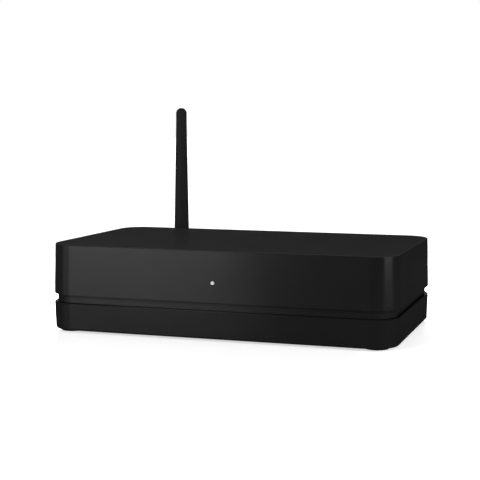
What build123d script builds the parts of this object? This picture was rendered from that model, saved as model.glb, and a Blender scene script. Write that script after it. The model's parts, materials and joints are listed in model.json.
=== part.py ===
from build123d import *
import os
from math import pi, radians, tan

# Wireless audio hub: a low case in two halves with a band recessed between them, four feet, one light in
# the front, a panel of sockets behind a window in the back, and a rod antenna that swivels and tilts.
# Millimetres. The origin is the centre of the case's plan, on the surface that the feet stand on.
# +X runs along the case, -Y is the front and +Z is up. The antenna is at rest when it stands upright.

os.makedirs("parts", exist_ok=True)

# Case outline and levels
CASE_WIDTH = 180.0
CASE_DEPTH = 107.0
CORNER_RADIUS = 13.5
FOOT_HEIGHT = 1.0
BASE_HEIGHT = 14.0
BAND_HEIGHT = 4.2
COVER_HEIGHT = 25.7
BAND_RECESS = 1.7
COVER_DRAFT = 1.6
BASE_DRAFT = 1.9
WALL = 2.4
FLOOR = 2.0
TOP_EDGE_ROUND = 0.8
BOTTOM_EDGE_ROUND = 1.0
SHOULDER_BEVEL = 0.35
RIB = 1.2

UNDERSIDE_Z = FOOT_HEIGHT
FLOOR_Z = UNDERSIDE_Z + FLOOR
SHOULDER_Z = UNDERSIDE_Z + BASE_HEIGHT
COVER_Z = SHOULDER_Z + BAND_HEIGHT
TOP_Z = COVER_Z + COVER_HEIGHT
CEILING_Z = TOP_Z - WALL

# Tongue of the tray that enters the cover
TONGUE_GAP = 0.15
TONGUE_WALL = 1.2
TONGUE_HEIGHT = 2.8
TONGUE_Z = COVER_Z + TONGUE_HEIGHT
TONGUE_INSET = WALL + TONGUE_GAP
POCKET_INSET = TONGUE_INSET + TONGUE_WALL

# Corner bosses, case screws and feet share four axes
BOSS_X = 79.4
BOSS_Y = 43.5
LOWER_BOSS_RADIUS = 4.2
UPPER_BOSS_RADIUS = 3.6
BOSS_JOINT_Z = 20.6
FOOT_RADIUS = 6.25
FOOT_RECESS_DEPTH = 0.8
FOOT_GAP = 0.15
FOOT_EDGE_CHAMFER = 0.5
CASE_SCREW_RADIUS = 1.5
CASE_SCREW_LENGTH = 24.0
CASE_SCREW_HEAD_RADIUS = 2.75
CASE_SCREW_HEAD_HEIGHT = 2.0
CASE_SCREW_SEAT_Z = 5.2
CASE_SCREW_PILOT_DEPTH = 12.0
SCREW_GAP = 0.02
SCREW_CLEARANCE = 0.15

# Rear panel and its window
WINDOW_HALF_WIDTH = 73.0
WINDOW_LOW_Z = 22.3
WINDOW_HIGH_Z = 40.5
WINDOW_CORNER = 2.5
PANEL_OUTER_Y = 50.2
PANEL_THICKNESS = 1.6
PANEL_INNER_Y = PANEL_OUTER_Y - PANEL_THICKNESS
PANEL_HALF_WIDTH = 76.2
PANEL_LOW_Z = 17.7
PANEL_HIGH_Z = 42.1
PANEL_CORNER = 1.2
PANEL_GAP = 0.15
HOLE_GAP = 0.15

# Main board
BOARD_WIDTH = 146.0
BOARD_FRONT_Y = -43.0
BOARD_REAR_Y = 47.0
BOARD_THICKNESS = 1.6
BOARD_TOP_Z = 23.0
BOARD_CORNER = 2.0
BOARD_LOW_Z = BOARD_TOP_Z - BOARD_THICKNESS
BOARD_MID_Y = (BOARD_FRONT_Y + BOARD_REAR_Y) / 2
BOARD_SCREW_X = 68.5
BOARD_SCREW_YS = (-38.5, 27.0)
BOARD_SCREW_RADIUS = 1.2
BOARD_SCREW_HEAD_RADIUS = 2.3
BOARD_SCREW_HEAD_HEIGHT = 1.5
BOARD_SCREW_LENGTH = 8.0
BOARD_POST_RADIUS = 3.2

# Front light
LIGHT_Z = 28.8
LIGHT_PIPE_RADIUS = 0.95
LIGHT_HOLE_RADIUS = 1.2
LIGHT_HOLE_BEVEL = 0.25
LIGHT_HOLE_DEPTH = 25.0
LIGHT_COLLAR_RADIUS = 2.4
LIGHT_COLLAR_LENGTH = 3.0
LIGHT_RECESS = 0.25
LIGHT_RING_LENGTH = 2.0
LIGHT_RING_INSET = 0.5
LED_Y = -40.0
LED_HEIGHT = 1.2
LED_GAP = 0.4

# Rear sockets and controls: place along the panel and height of each axis
POWER_X = 62.0
POWER_Z = 29.4
GROUP_X = 46.0
GROUP_Z = 26.2
PAIR_X = 32.5
PAIR_Z = 26.0
USB_X = 19.0
USB_Z = 25.0
OPTICAL_X = 3.0
OPTICAL_Z = 28.3
LINE_X = -22.0
LINE_PITCH = 14.0
LINE_Z = 31.4
AUX_X = -45.0
AUX_Z = 27.2
ANTENNA_X = -63.5
ANTENNA_Z = 30.3

# Antenna: the tilt pivot stands behind the case and the rod rises from it
PIVOT_Y = 71.5
ROD_TIP_Z = 114.6
ROD_TIP_RADIUS = 3.15
ROD_SHOULDER_RADIUS = 3.17
ROD_SHOULDER_BELOW_TIP = 8.9
ROD_TIP_ROUND = 3.1
ROD_TAPER = 0.0165
KNUCKLE_COLLAR_RISE = 5.2
KNUCKLE_COLLAR_Z = ANTENNA_Z + KNUCKLE_COLLAR_RISE
ROD_LOW_Z = 41.0

# Overlap that joins a socket's round nose to its body, and the gap between pieces that sit tight
NOSE_OVERLAP = 1.0
SEAT_GAP = 0.02

# A face counts as standing up while its normal's upward share stays below this
STANDING_LIMIT = 0.5

# Align a turned or moulded length by its outer end, so that it runs inwards from there
OUTER_END = (Align.CENTER, Align.CENTER, Align.MAX)
INNER_END = (Align.CENTER, Align.CENTER, Align.MIN)

# Turn that lays a cylinder's length along X
RIGHT_ANGLE = 90
ALONG_X = (0, RIGHT_ANGLE, 0)


def case_outline(inset):
    """The case's rounded plan outline at the band, moved inwards by inset."""
    RectangleRounded(CASE_WIDTH - 2 * inset, CASE_DEPTH - 2 * inset, CORNER_RADIUS - inset)


def upright(y):
    """An upright sketch plane across the case: local x is +X, local y is +Z, and extrude goes forwards."""
    return Plane.XZ.offset(-y)


def facing_back(x, y, z):
    """A place whose local z points out of the back, so that a hole there is cut forwards."""
    return Plane(origin=(x, y, z), x_dir=(-1, 0, 0), z_dir=(0, 1, 0)).location


def side_faces(shape):
    """The faces that stand up, which get the moulding draft."""
    return shape.faces().filter_by(lambda face: abs(face.normal_at().Z) < STANDING_LIMIT)


def rod_radius(z):
    """Radius of the antenna rod's taper at height z."""
    return ROD_TIP_RADIUS + ROD_TAPER * (ROD_TIP_Z - z)


BOSS_PLACES = [(x, y) for x in (-BOSS_X, BOSS_X) for y in (-BOSS_Y, BOSS_Y)]
BOARD_SCREW_PLACES = [(x, y) for x in (-BOARD_SCREW_X, BOARD_SCREW_X) for y in BOARD_SCREW_YS]
LINE_XS = (LINE_X + LINE_PITCH / 2, LINE_X - LINE_PITCH / 2)

# Top cover: a drafted shell, open below, with a window in its back wall and a small hole for the light
LIGHT_FACE_Y = -(CASE_DEPTH / 2 - (LIGHT_Z - COVER_Z) * tan(radians(COVER_DRAFT)))
COVER_RIB_HEIGHT = 1.6
COVER_LONG_RIB_Y = 18.0
COVER_CROSS_RIB_X = 45.0
PANEL_RIB_GAP = 0.2
PANEL_RIB_Y = PANEL_INNER_Y - PANEL_RIB_GAP
PANEL_RIB_LOW_Z = 39.8
PANEL_RIB_LENGTH = 140.0

with BuildPart() as top_cover:
    with BuildSketch(Plane.XY.offset(COVER_Z)):
        case_outline(0)
    extrude(amount=COVER_HEIGHT)
    draft(side_faces(top_cover), neutral_plane=Plane.XY.offset(COVER_Z), angle=COVER_DRAFT)
    fillet(top_cover.faces().sort_by(Axis.Z)[-1].edges(), radius=TOP_EDGE_ROUND)
    with BuildSketch(Plane.XY.offset(COVER_Z)):
        case_outline(WALL)
    extrude(amount=COVER_HEIGHT - WALL, taper=COVER_DRAFT, mode=Mode.SUBTRACT)
    # Bosses that take the case screws, and stiffening ribs under the ceiling
    with BuildSketch(Plane.XY.offset(BOSS_JOINT_Z)):
        with Locations(BOSS_PLACES):
            Circle(UPPER_BOSS_RADIUS)
    extrude(amount=CEILING_Z - BOSS_JOINT_Z)
    with BuildSketch(Plane.XY.offset(CEILING_Z - COVER_RIB_HEIGHT)):
        with Locations((0, -COVER_LONG_RIB_Y), (0, COVER_LONG_RIB_Y)):
            Rectangle(CASE_WIDTH - 2 * POCKET_INSET, RIB)
        with Locations((-COVER_CROSS_RIB_X, 0), (0, 0), (COVER_CROSS_RIB_X, 0)):
            Rectangle(RIB, 2 * COVER_LONG_RIB_Y)
    extrude(amount=COVER_RIB_HEIGHT)
    # Rib that stands behind the rear panel's top edge
    with Locations((0, PANEL_RIB_Y, CEILING_Z)):
        Box(PANEL_RIB_LENGTH, RIB, CEILING_Z - PANEL_RIB_LOW_Z, align=(Align.CENTER, Align.MAX, Align.MAX))
    with Locations(*[(x, y, BOSS_JOINT_Z) for x, y in BOSS_PLACES]):
        Cylinder(CASE_SCREW_RADIUS + SCREW_GAP, CASE_SCREW_PILOT_DEPTH, align=INNER_END, mode=Mode.SUBTRACT)
    # Collar and bevelled hole for the light pipe
    with Locations(facing_back(0, LIGHT_FACE_Y + WALL + LIGHT_COLLAR_LENGTH, LIGHT_Z)):
        Cylinder(LIGHT_COLLAR_RADIUS, LIGHT_COLLAR_LENGTH + WALL / 2, align=OUTER_END)
    with Locations(Plane(origin=(0, LIGHT_FACE_Y, LIGHT_Z), z_dir=(0, -1, 0)).location):
        CounterSinkHole(LIGHT_HOLE_RADIUS, LIGHT_HOLE_RADIUS + LIGHT_HOLE_BEVEL, depth=LIGHT_HOLE_DEPTH,
                        counter_sink_angle=RIGHT_ANGLE)
    # Window for the sockets
    with BuildSketch(upright(CASE_DEPTH)):
        with Locations((0, (WINDOW_LOW_Z + WINDOW_HIGH_Z) / 2)):
            RectangleRounded(2 * WINDOW_HALF_WIDTH, WINDOW_HIGH_Z - WINDOW_LOW_Z, WINDOW_CORNER)
    extrude(amount=CASE_DEPTH - PANEL_OUTER_Y, mode=Mode.SUBTRACT)
top_cover.part.label = "top_cover"
export_step(top_cover.part, "parts/top_cover.step")

# Base tray: drafted tray, recessed neck that makes the band, and a tongue that enters the cover
FLOOR_RIB_HEIGHT = 4.0
FLOOR_RIB_END_GAP = 4.0
PANEL_SLOT_DEPTH_GAP = 0.2
PANEL_SLOT_END_GAP = 0.3
PANEL_SLOT_LOW_Z = PANEL_LOW_Z - PANEL_SLOT_DEPTH_GAP
PANEL_SLOT_HALF_WIDTH = PANEL_HALF_WIDTH + PANEL_SLOT_END_GAP
PANEL_POST_X = 75.2
PANEL_POST_WIDTH = 1.8
PANEL_POST_REAR_Y = PANEL_INNER_Y - PANEL_GAP

with BuildPart() as base_tray:
    with BuildSketch(Plane.XY.offset(UNDERSIDE_Z)):
        case_outline(0)
    extrude(amount=BASE_HEIGHT)
    draft(side_faces(base_tray), neutral_plane=Plane.XY.offset(SHOULDER_Z), angle=-BASE_DRAFT)
    fillet(base_tray.faces().sort_by(Axis.Z)[0].edges(), radius=BOTTOM_EDGE_ROUND)
    chamfer(base_tray.faces().sort_by(Axis.Z)[-1].edges(), length=SHOULDER_BEVEL)
    with BuildSketch(Plane.XY.offset(SHOULDER_Z)):
        case_outline(BAND_RECESS)
    extrude(amount=BAND_HEIGHT)
    with BuildSketch(Plane.XY.offset(COVER_Z)):
        case_outline(TONGUE_INSET)
    extrude(amount=TONGUE_Z - COVER_Z)
    with BuildSketch(Plane.XY.offset(FLOOR_Z)):
        case_outline(POCKET_INSET)
    extrude(amount=TONGUE_Z - FLOOR_Z, mode=Mode.SUBTRACT)
    # Corner bosses, board posts with their ribs, and the two posts that stand behind the panel
    with BuildSketch(Plane.XY.offset(FLOOR_Z)):
        with Locations(BOSS_PLACES):
            Circle(LOWER_BOSS_RADIUS)
    extrude(amount=BOSS_JOINT_Z - FLOOR_Z)
    with BuildSketch(Plane.XY.offset(FLOOR_Z)):
        with Locations(BOARD_SCREW_PLACES):
            Circle(BOARD_POST_RADIUS)
    extrude(amount=BOARD_LOW_Z - FLOOR_Z)
    with BuildSketch(Plane.XY.offset(FLOOR_Z)):
        with Locations(*[(0, y) for y in BOARD_SCREW_YS]):
            Rectangle(2 * BOARD_SCREW_X, RIB)
        with Locations((-BOARD_SCREW_X, BOARD_MID_Y), (0, BOARD_MID_Y), (BOARD_SCREW_X, BOARD_MID_Y)):
            Rectangle(RIB, CASE_DEPTH - 2 * POCKET_INSET - 2 * FLOOR_RIB_END_GAP)
    extrude(amount=FLOOR_RIB_HEIGHT)
    with Locations(*[(x, PANEL_POST_REAR_Y, FLOOR_Z) for x in (-PANEL_POST_X, PANEL_POST_X)]):
        Box(PANEL_POST_WIDTH, PANEL_POST_WIDTH, TONGUE_Z - FLOOR_Z,
            align=(Align.CENTER, Align.MAX, Align.MIN))
    # The panel's lower edge stands in a slot in the neck, and the tongue stops where the panel is
    slot_front_y = PANEL_POST_REAR_Y
    slot_rear_y = PANEL_OUTER_Y + PANEL_GAP
    with Locations((0, slot_front_y, PANEL_SLOT_LOW_Z)):
        Box(2 * PANEL_SLOT_HALF_WIDTH, slot_rear_y - slot_front_y, TONGUE_Z - PANEL_SLOT_LOW_Z,
            align=(Align.CENTER, Align.MIN, Align.MIN), mode=Mode.SUBTRACT)
    with Locations((0, slot_front_y, COVER_Z)):
        Box(2 * PANEL_SLOT_HALF_WIDTH, CASE_DEPTH / 2 - slot_front_y, TONGUE_Z - COVER_Z,
            align=(Align.CENTER, Align.MIN, Align.MIN), mode=Mode.SUBTRACT)
    # Screw holes, screw head pockets and foot recesses, from the underside
    with Locations(*[(x, y, UNDERSIDE_Z) for x, y in BOSS_PLACES]):
        Cylinder(CASE_SCREW_RADIUS + SCREW_CLEARANCE, BOSS_JOINT_Z, align=INNER_END, mode=Mode.SUBTRACT)
        Cylinder(CASE_SCREW_HEAD_RADIUS + SCREW_CLEARANCE, CASE_SCREW_SEAT_Z - UNDERSIDE_Z, align=INNER_END,
                 mode=Mode.SUBTRACT)
        Cylinder(FOOT_RADIUS + FOOT_GAP, FOOT_RECESS_DEPTH, align=INNER_END, mode=Mode.SUBTRACT)
    with Locations(*[(x, y, BOARD_LOW_Z) for x, y in BOARD_SCREW_PLACES]):
        Cylinder(BOARD_SCREW_RADIUS + SCREW_GAP, BOARD_SCREW_LENGTH, align=OUTER_END, mode=Mode.SUBTRACT)
base_tray.part.label = "base_tray"
export_step(base_tray.part, "parts/base_tray.step")

# Rubber feet: discs set into the underside, over the case screws
with BuildPart() as rubber_feet:
    with Locations(*[(x, y, 0) for x, y in BOSS_PLACES]):
        Cylinder(FOOT_RADIUS, FOOT_HEIGHT + FOOT_RECESS_DEPTH, align=INNER_END)
    chamfer(rubber_feet.edges().group_by(Axis.Z)[0], length=FOOT_EDGE_CHAMFER)
rubber_feet.part.label = "rubber_feet"
export_step(rubber_feet.part, "parts/rubber_feet.step")

# Case screws: pan heads below, shanks up into the cover's bosses
with BuildPart() as case_screws:
    with Locations(*[(x, y, CASE_SCREW_SEAT_Z) for x, y in BOSS_PLACES]):
        Cylinder(CASE_SCREW_HEAD_RADIUS, CASE_SCREW_HEAD_HEIGHT, align=OUTER_END)
        Cylinder(CASE_SCREW_RADIUS, CASE_SCREW_LENGTH, align=INNER_END)
case_screws.part.label = "case_screws"
export_step(case_screws.part, "parts/case_screws.step")

# Rear panel: a plate with a hole for each socket and control
POWER_NOSE_RADIUS = 4.4
GROUP_SLOT_WIDTH = 6.8
GROUP_SLOT_HEIGHT = 2.8
PAIR_STEM_RADIUS = 1.75
USB_WIDTH = 7.6
USB_HEIGHT = 3.9
USB_CORNER = 0.7
OPTICAL_WIDTH = 9.7
OPTICAL_HEIGHT = 10.6
SLEEVE_RADIUS = 4.15
AUX_NOSE_RADIUS = 2.95
THREAD_RADIUS = 3.1
JACK_SCREW_Z = 36.9
JACK_SCREW_RADIUS = 1.4

with BuildPart() as rear_panel:
    with BuildSketch(upright(PANEL_OUTER_Y)):
        with Locations((0, (PANEL_LOW_Z + PANEL_HIGH_Z) / 2)):
            RectangleRounded(2 * PANEL_HALF_WIDTH, PANEL_HIGH_Z - PANEL_LOW_Z, PANEL_CORNER)
        with Locations((POWER_X, POWER_Z)):
            Circle(POWER_NOSE_RADIUS + HOLE_GAP, mode=Mode.SUBTRACT)
        with Locations((GROUP_X, GROUP_Z)):
            Rectangle(GROUP_SLOT_WIDTH, GROUP_SLOT_HEIGHT, mode=Mode.SUBTRACT)
        with Locations((PAIR_X, PAIR_Z)):
            Circle(PAIR_STEM_RADIUS + HOLE_GAP, mode=Mode.SUBTRACT)
        with Locations((USB_X, USB_Z)):
            RectangleRounded(USB_WIDTH + 2 * HOLE_GAP, USB_HEIGHT + 2 * HOLE_GAP, USB_CORNER,
                             mode=Mode.SUBTRACT)
        with Locations((OPTICAL_X, OPTICAL_Z)):
            Rectangle(OPTICAL_WIDTH + 2 * HOLE_GAP, OPTICAL_HEIGHT + 2 * HOLE_GAP, mode=Mode.SUBTRACT)
        with Locations(*[(x, LINE_Z) for x in LINE_XS]):
            Circle(SLEEVE_RADIUS + HOLE_GAP, mode=Mode.SUBTRACT)
        with Locations((LINE_X, JACK_SCREW_Z)):
            Circle(JACK_SCREW_RADIUS + HOLE_GAP, mode=Mode.SUBTRACT)
        with Locations((AUX_X, AUX_Z)):
            Circle(AUX_NOSE_RADIUS + HOLE_GAP, mode=Mode.SUBTRACT)
        with Locations((ANTENNA_X, ANTENNA_Z)):
            Circle(THREAD_RADIUS + HOLE_GAP, mode=Mode.SUBTRACT)
    extrude(amount=PANEL_THICKNESS)
rear_panel.part.label = "rear_panel"
export_step(rear_panel.part, "parts/rear_panel.step")

# Main board and the four screws that hold it on its posts
with BuildPart() as main_board:
    with BuildSketch(Plane.XY.offset(BOARD_LOW_Z)):
        with Locations((0, BOARD_MID_Y)):
            RectangleRounded(BOARD_WIDTH, BOARD_REAR_Y - BOARD_FRONT_Y, BOARD_CORNER)
        with Locations(BOARD_SCREW_PLACES):
            Circle(BOARD_SCREW_RADIUS + SCREW_CLEARANCE, mode=Mode.SUBTRACT)
    extrude(amount=BOARD_THICKNESS)
main_board.part.label = "main_board"
export_step(main_board.part, "parts/main_board.step")

with BuildPart() as board_screws:
    with Locations(*[(x, y, BOARD_TOP_Z) for x, y in BOARD_SCREW_PLACES]):
        Cylinder(BOARD_SCREW_HEAD_RADIUS, BOARD_SCREW_HEAD_HEIGHT, align=INNER_END)
        Cylinder(BOARD_SCREW_RADIUS, BOARD_SCREW_LENGTH, align=OUTER_END)
board_screws.part.label = "board_screws"
export_step(board_screws.part, "parts/board_screws.step")

# Light pipe: a clear rod from the front hole, with a ring tight in the collar. Over the light source on the
# board a slanted facet turns the light from the upright leg into the level one.
pipe_face_y = LIGHT_FACE_Y + LIGHT_RECESS
pipe_low_z = BOARD_TOP_Z + LED_HEIGHT + LED_GAP
pipe_ring_y = LIGHT_FACE_Y + WALL + LIGHT_RING_INSET + LIGHT_RING_LENGTH

with BuildPart() as light_pipe:
    with Locations(facing_back(0, LED_Y + LIGHT_PIPE_RADIUS, LIGHT_Z)):
        Cylinder(LIGHT_PIPE_RADIUS, LED_Y + LIGHT_PIPE_RADIUS - pipe_face_y, align=OUTER_END)
    with Locations((0, LED_Y, pipe_low_z)):
        Cylinder(LIGHT_PIPE_RADIUS, LIGHT_Z + LIGHT_PIPE_RADIUS - pipe_low_z, align=INNER_END)
    split(bisect_by=Plane(origin=(0, LED_Y, LIGHT_Z), z_dir=(0, 1, 1)), keep=Keep.BOTTOM)
    with Locations(facing_back(0, pipe_ring_y, LIGHT_Z)):
        Cylinder(LIGHT_HOLE_RADIUS - SEAT_GAP, LIGHT_RING_LENGTH, align=OUTER_END)
light_pipe.part.label = "light_pipe"
export_step(light_pipe.part, "parts/light_pipe.step")

LED_LENGTH = 2.0
LED_WIDTH = 1.25
LED_BASE_HEIGHT = 0.6

with BuildPart() as status_led:
    with Locations((0, LED_Y, BOARD_TOP_Z)):
        Box(LED_LENGTH, LED_WIDTH, LED_BASE_HEIGHT, align=INNER_END)
    with Locations((0, LED_Y, BOARD_TOP_Z + LED_BASE_HEIGHT)):
        Cylinder(LED_WIDTH / 2, LED_HEIGHT - LED_BASE_HEIGHT, align=INNER_END)
status_led.part.label = "status_led"
export_step(status_led.part, "parts/status_led.step")

# Chips and power parts on the board
PROCESSOR_SIDE = 14.0
CONVERTER_SIDE = 7.0
CHIP_HEIGHT = 1.4
PROCESSOR_CORNER = 1.0
PROCESSOR_PLACE = (8.0, 2.0)
CONVERTER_PLACES = [(-30.0, 27.0), (-14.0, 27.0)]
CAPACITOR_RADIUS = 3.2
CAPACITOR_HEIGHT = 8.0
CAPACITOR_PLACES = [(x, 24.0) for x in (34.0, 43.0, 52.0, 61.0)]
INDUCTOR_SIDE = 10.0
INDUCTOR_HEIGHT = 4.5
INDUCTOR_CORNER = 2.5
INDUCTOR_PLACE = (52.0, 8.0)

with BuildPart() as signal_processor:
    with Locations((*PROCESSOR_PLACE, BOARD_TOP_Z)):
        Box(PROCESSOR_SIDE, PROCESSOR_SIDE, CHIP_HEIGHT, align=INNER_END)
    chamfer(signal_processor.edges().filter_by(Axis.Z).sort_by(Axis.X)[0], length=PROCESSOR_CORNER)
signal_processor.part.label = "signal_processor"
export_step(signal_processor.part, "parts/signal_processor.step")

with BuildPart() as audio_converters:
    with Locations(*[(x, y, BOARD_TOP_Z) for x, y in CONVERTER_PLACES]):
        Box(CONVERTER_SIDE, CONVERTER_SIDE, CHIP_HEIGHT, align=INNER_END)
audio_converters.part.label = "audio_converters"
export_step(audio_converters.part, "parts/audio_converters.step")

with BuildPart() as filter_capacitors:
    with Locations(*[(x, y, BOARD_TOP_Z) for x, y in CAPACITOR_PLACES]):
        Cylinder(CAPACITOR_RADIUS, CAPACITOR_HEIGHT, align=INNER_END)
filter_capacitors.part.label = "filter_capacitors"
export_step(filter_capacitors.part, "parts/filter_capacitors.step")

with BuildPart() as power_inductor:
    with BuildSketch(Plane.XY.offset(BOARD_TOP_Z)):
        with Locations(INDUCTOR_PLACE):
            RectangleRounded(INDUCTOR_SIDE, INDUCTOR_SIDE, INDUCTOR_CORNER)
    extrude(amount=INDUCTOR_HEIGHT)
power_inductor.part.label = "power_inductor"
export_step(power_inductor.part, "parts/power_inductor.step")

# Radio module: a small board with its screening can, and the plug of the antenna's lead
RADIO_X = -48.0
RADIO_Y = 8.0
RADIO_WIDTH = 28.0
RADIO_DEPTH = 24.0
RADIO_THICKNESS = 1.0
RADIO_TOP_Z = BOARD_TOP_Z + RADIO_THICKNESS
CAN_WIDTH = 18.0
CAN_DEPTH = 16.0
CAN_HEIGHT = 2.4
CAN_WALL = 0.3
CAN_SHIFT = 3.5
CAN_CORNER = 0.5
PLUG_X = -58.5
PLUG_Y = 14.0
PLUG_RADIUS = 1.5
PLUG_HEIGHT = 1.8
PLUG_BARREL_RADIUS = 0.85
PLUG_BARREL_LENGTH = 3.0
LEAD_RADIUS = 0.65
LEAD_END_Z = RADIO_TOP_Z + PLUG_HEIGHT / 2

with BuildPart() as radio_board:
    with Locations((RADIO_X, RADIO_Y, BOARD_TOP_Z)):
        Box(RADIO_WIDTH, RADIO_DEPTH, RADIO_THICKNESS, align=INNER_END)
radio_board.part.label = "radio_board"
export_step(radio_board.part, "parts/radio_board.step")

with BuildPart() as radio_shield:
    with Locations((RADIO_X + CAN_SHIFT, RADIO_Y, RADIO_TOP_Z)):
        Box(CAN_WIDTH, CAN_DEPTH, CAN_HEIGHT, align=INNER_END)
    chamfer(radio_shield.edges().filter_by(Axis.Z), length=CAN_CORNER)
    offset(amount=-CAN_WALL, openings=radio_shield.faces().sort_by(Axis.Z)[0])
radio_shield.part.label = "radio_shield"
export_step(radio_shield.part, "parts/radio_shield.step")

with BuildPart() as antenna_lead_plug:
    with Locations((PLUG_X, PLUG_Y, RADIO_TOP_Z)):
        Cylinder(PLUG_RADIUS, PLUG_HEIGHT, align=INNER_END)
    with Locations(facing_back(PLUG_X, PLUG_Y + PLUG_BARREL_LENGTH, LEAD_END_Z)):
        Cylinder(PLUG_BARREL_RADIUS, PLUG_BARREL_LENGTH, align=OUTER_END)
antenna_lead_plug.part.label = "antenna_lead_plug"
export_step(antenna_lead_plug.part, "parts/antenna_lead_plug.step")

# Antenna socket: a turned coaxial bulkhead, clamped in the panel by its washer and nut
SOCKET_TIP_Y = 58.5
SOCKET_FLANGE_RADIUS = 4.0
SOCKET_FLANGE = 1.8
CRIMP_RADIUS = 1.9
CRIMP_FRONT_Y = 41.0
SOCKET_CHAMFER = 0.3
CONTACT_HOLE_RADIUS = 0.75
CONTACT_HOLE_DEPTH = 5.5
WASHER_RADIUS = 4.9
WASHER_THICKNESS = 0.5
NUT_FLATS_RADIUS = 4.0
NUT_THICKNESS = 2.2

with BuildPart() as antenna_socket:
    with Locations(facing_back(ANTENNA_X, SOCKET_TIP_Y, ANTENNA_Z)):
        Cylinder(THREAD_RADIUS, SOCKET_TIP_Y - PANEL_INNER_Y, align=OUTER_END)
    with Locations(facing_back(ANTENNA_X, PANEL_INNER_Y, ANTENNA_Z)):
        Cylinder(SOCKET_FLANGE_RADIUS, SOCKET_FLANGE, align=OUTER_END)
        Cylinder(CRIMP_RADIUS, PANEL_INNER_Y - CRIMP_FRONT_Y, align=OUTER_END)
    with Locations(facing_back(ANTENNA_X, SOCKET_TIP_Y, ANTENNA_Z)):
        Hole(CONTACT_HOLE_RADIUS, CONTACT_HOLE_DEPTH)
    chamfer(antenna_socket.edges().group_by(Axis.Y)[-1].sort_by(SortBy.LENGTH)[-1], length=SOCKET_CHAMFER)
antenna_socket.part.label = "antenna_socket"
export_step(antenna_socket.part, "parts/antenna_socket.step")

with BuildPart() as antenna_socket_washer:
    with BuildSketch(upright(PANEL_OUTER_Y + WASHER_THICKNESS)):
        with Locations((ANTENNA_X, ANTENNA_Z)):
            Circle(WASHER_RADIUS)
            Circle(THREAD_RADIUS + SEAT_GAP, mode=Mode.SUBTRACT)
    extrude(amount=WASHER_THICKNESS)
antenna_socket_washer.part.label = "antenna_socket_washer"
export_step(antenna_socket_washer.part, "parts/antenna_socket_washer.step")

with BuildPart() as antenna_socket_nut:
    with BuildSketch(upright(PANEL_OUTER_Y + WASHER_THICKNESS + NUT_THICKNESS)):
        with Locations((ANTENNA_X, ANTENNA_Z)):
            RegularPolygon(NUT_FLATS_RADIUS, 6, major_radius=False)
            Circle(THREAD_RADIUS + SEAT_GAP, mode=Mode.SUBTRACT)
    extrude(amount=NUT_THICKNESS)
antenna_socket_nut.part.label = "antenna_socket_nut"
export_step(antenna_socket_nut.part, "parts/antenna_socket_nut.step")

# Antenna lead: thin coaxial cable along its real route, straight runs joined by tangent arcs
LEAD_ROUTE = [
    (ANTENNA_X, CRIMP_FRONT_Y, ANTENNA_Z),
    (ANTENNA_X, 34.0, ANTENNA_Z),
    (PLUG_X, 24.0, LEAD_END_Z),
    (PLUG_X, PLUG_Y + PLUG_BARREL_LENGTH, LEAD_END_Z),
]
BEND_SHARE = 0.45
runs = [Vector(*b) - Vector(*a) for a, b in zip(LEAD_ROUTE, LEAD_ROUTE[1:])]
lead_radii = [
    BEND_SHARE * min(a.length, b.length) / tan(radians(a.get_angle(b) / 2)) for a, b in zip(runs, runs[1:])
]
print("antenna lead bend radii, mm:", [round(radius, 2) for radius in lead_radii])

with BuildPart() as antenna_lead:
    with BuildLine() as lead_path:
        FilletPolyline(*LEAD_ROUTE, radius=lead_radii)
    with BuildSketch(Plane(origin=LEAD_ROUTE[0], z_dir=(0, -1, 0))):
        Circle(LEAD_RADIUS)
    sweep(path=lead_path.wire())
antenna_lead.part.label = "antenna_lead"
export_step(antenna_lead.part, "parts/antenna_lead.step")
lead_volume = pi * LEAD_RADIUS**2 * lead_path.wire().length
print("antenna lead volume over section times length:", round(antenna_lead.part.volume / lead_volume, 4))

# Power inlet: moulded body with a round nose through the panel, and its centre pin
POWER_BODY_WIDTH = 9.0
POWER_BODY_FRONT_Y = 35.0
POWER_BODY_HIGH_Z = 34.4
POWER_NOSE_Y = 50.9
POWER_MOUTH_RADIUS = 3.15
POWER_MOUTH_DEPTH = 9.5
POWER_PIN_RADIUS = 1.05
POWER_PIN_RECESS = 0.8
POWER_PIN_CHAMFER = 0.5
POWER_BODY_CHAMFER = 1.2
POWER_MOUTH_CHAMFER = 0.4

with BuildPart() as power_inlet_body:
    with Locations((POWER_X, POWER_BODY_FRONT_Y, BOARD_TOP_Z)):
        Box(POWER_BODY_WIDTH, PANEL_INNER_Y - POWER_BODY_FRONT_Y, POWER_BODY_HIGH_Z - BOARD_TOP_Z,
            align=(Align.CENTER, Align.MIN, Align.MIN))
    chamfer(power_inlet_body.edges().filter_by(Axis.Y).group_by(Axis.Z)[-1], length=POWER_BODY_CHAMFER)
    with Locations(facing_back(POWER_X, POWER_NOSE_Y, POWER_Z)):
        Cylinder(POWER_NOSE_RADIUS, POWER_NOSE_Y - PANEL_INNER_Y + NOSE_OVERLAP, align=OUTER_END)
        Hole(POWER_MOUTH_RADIUS, POWER_MOUTH_DEPTH)
    mouth_edge = power_inlet_body.edges().group_by(Axis.Y)[-1].sort_by(SortBy.LENGTH)[0]
    chamfer(mouth_edge, length=POWER_MOUTH_CHAMFER)
power_inlet_body.part.label = "power_inlet_body"
export_step(power_inlet_body.part, "parts/power_inlet_body.step")

with BuildPart() as power_inlet_pin:
    pin_tip_y = POWER_NOSE_Y - POWER_PIN_RECESS
    with Locations(facing_back(POWER_X, pin_tip_y, POWER_Z)):
        Cylinder(POWER_PIN_RADIUS, POWER_MOUTH_DEPTH - POWER_PIN_RECESS, align=OUTER_END)
    chamfer(power_inlet_pin.edges().group_by(Axis.Y)[-1], length=POWER_PIN_CHAMFER)
power_inlet_pin.part.label = "power_inlet_pin"
export_step(power_inlet_pin.part, "parts/power_inlet_pin.step")

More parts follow.
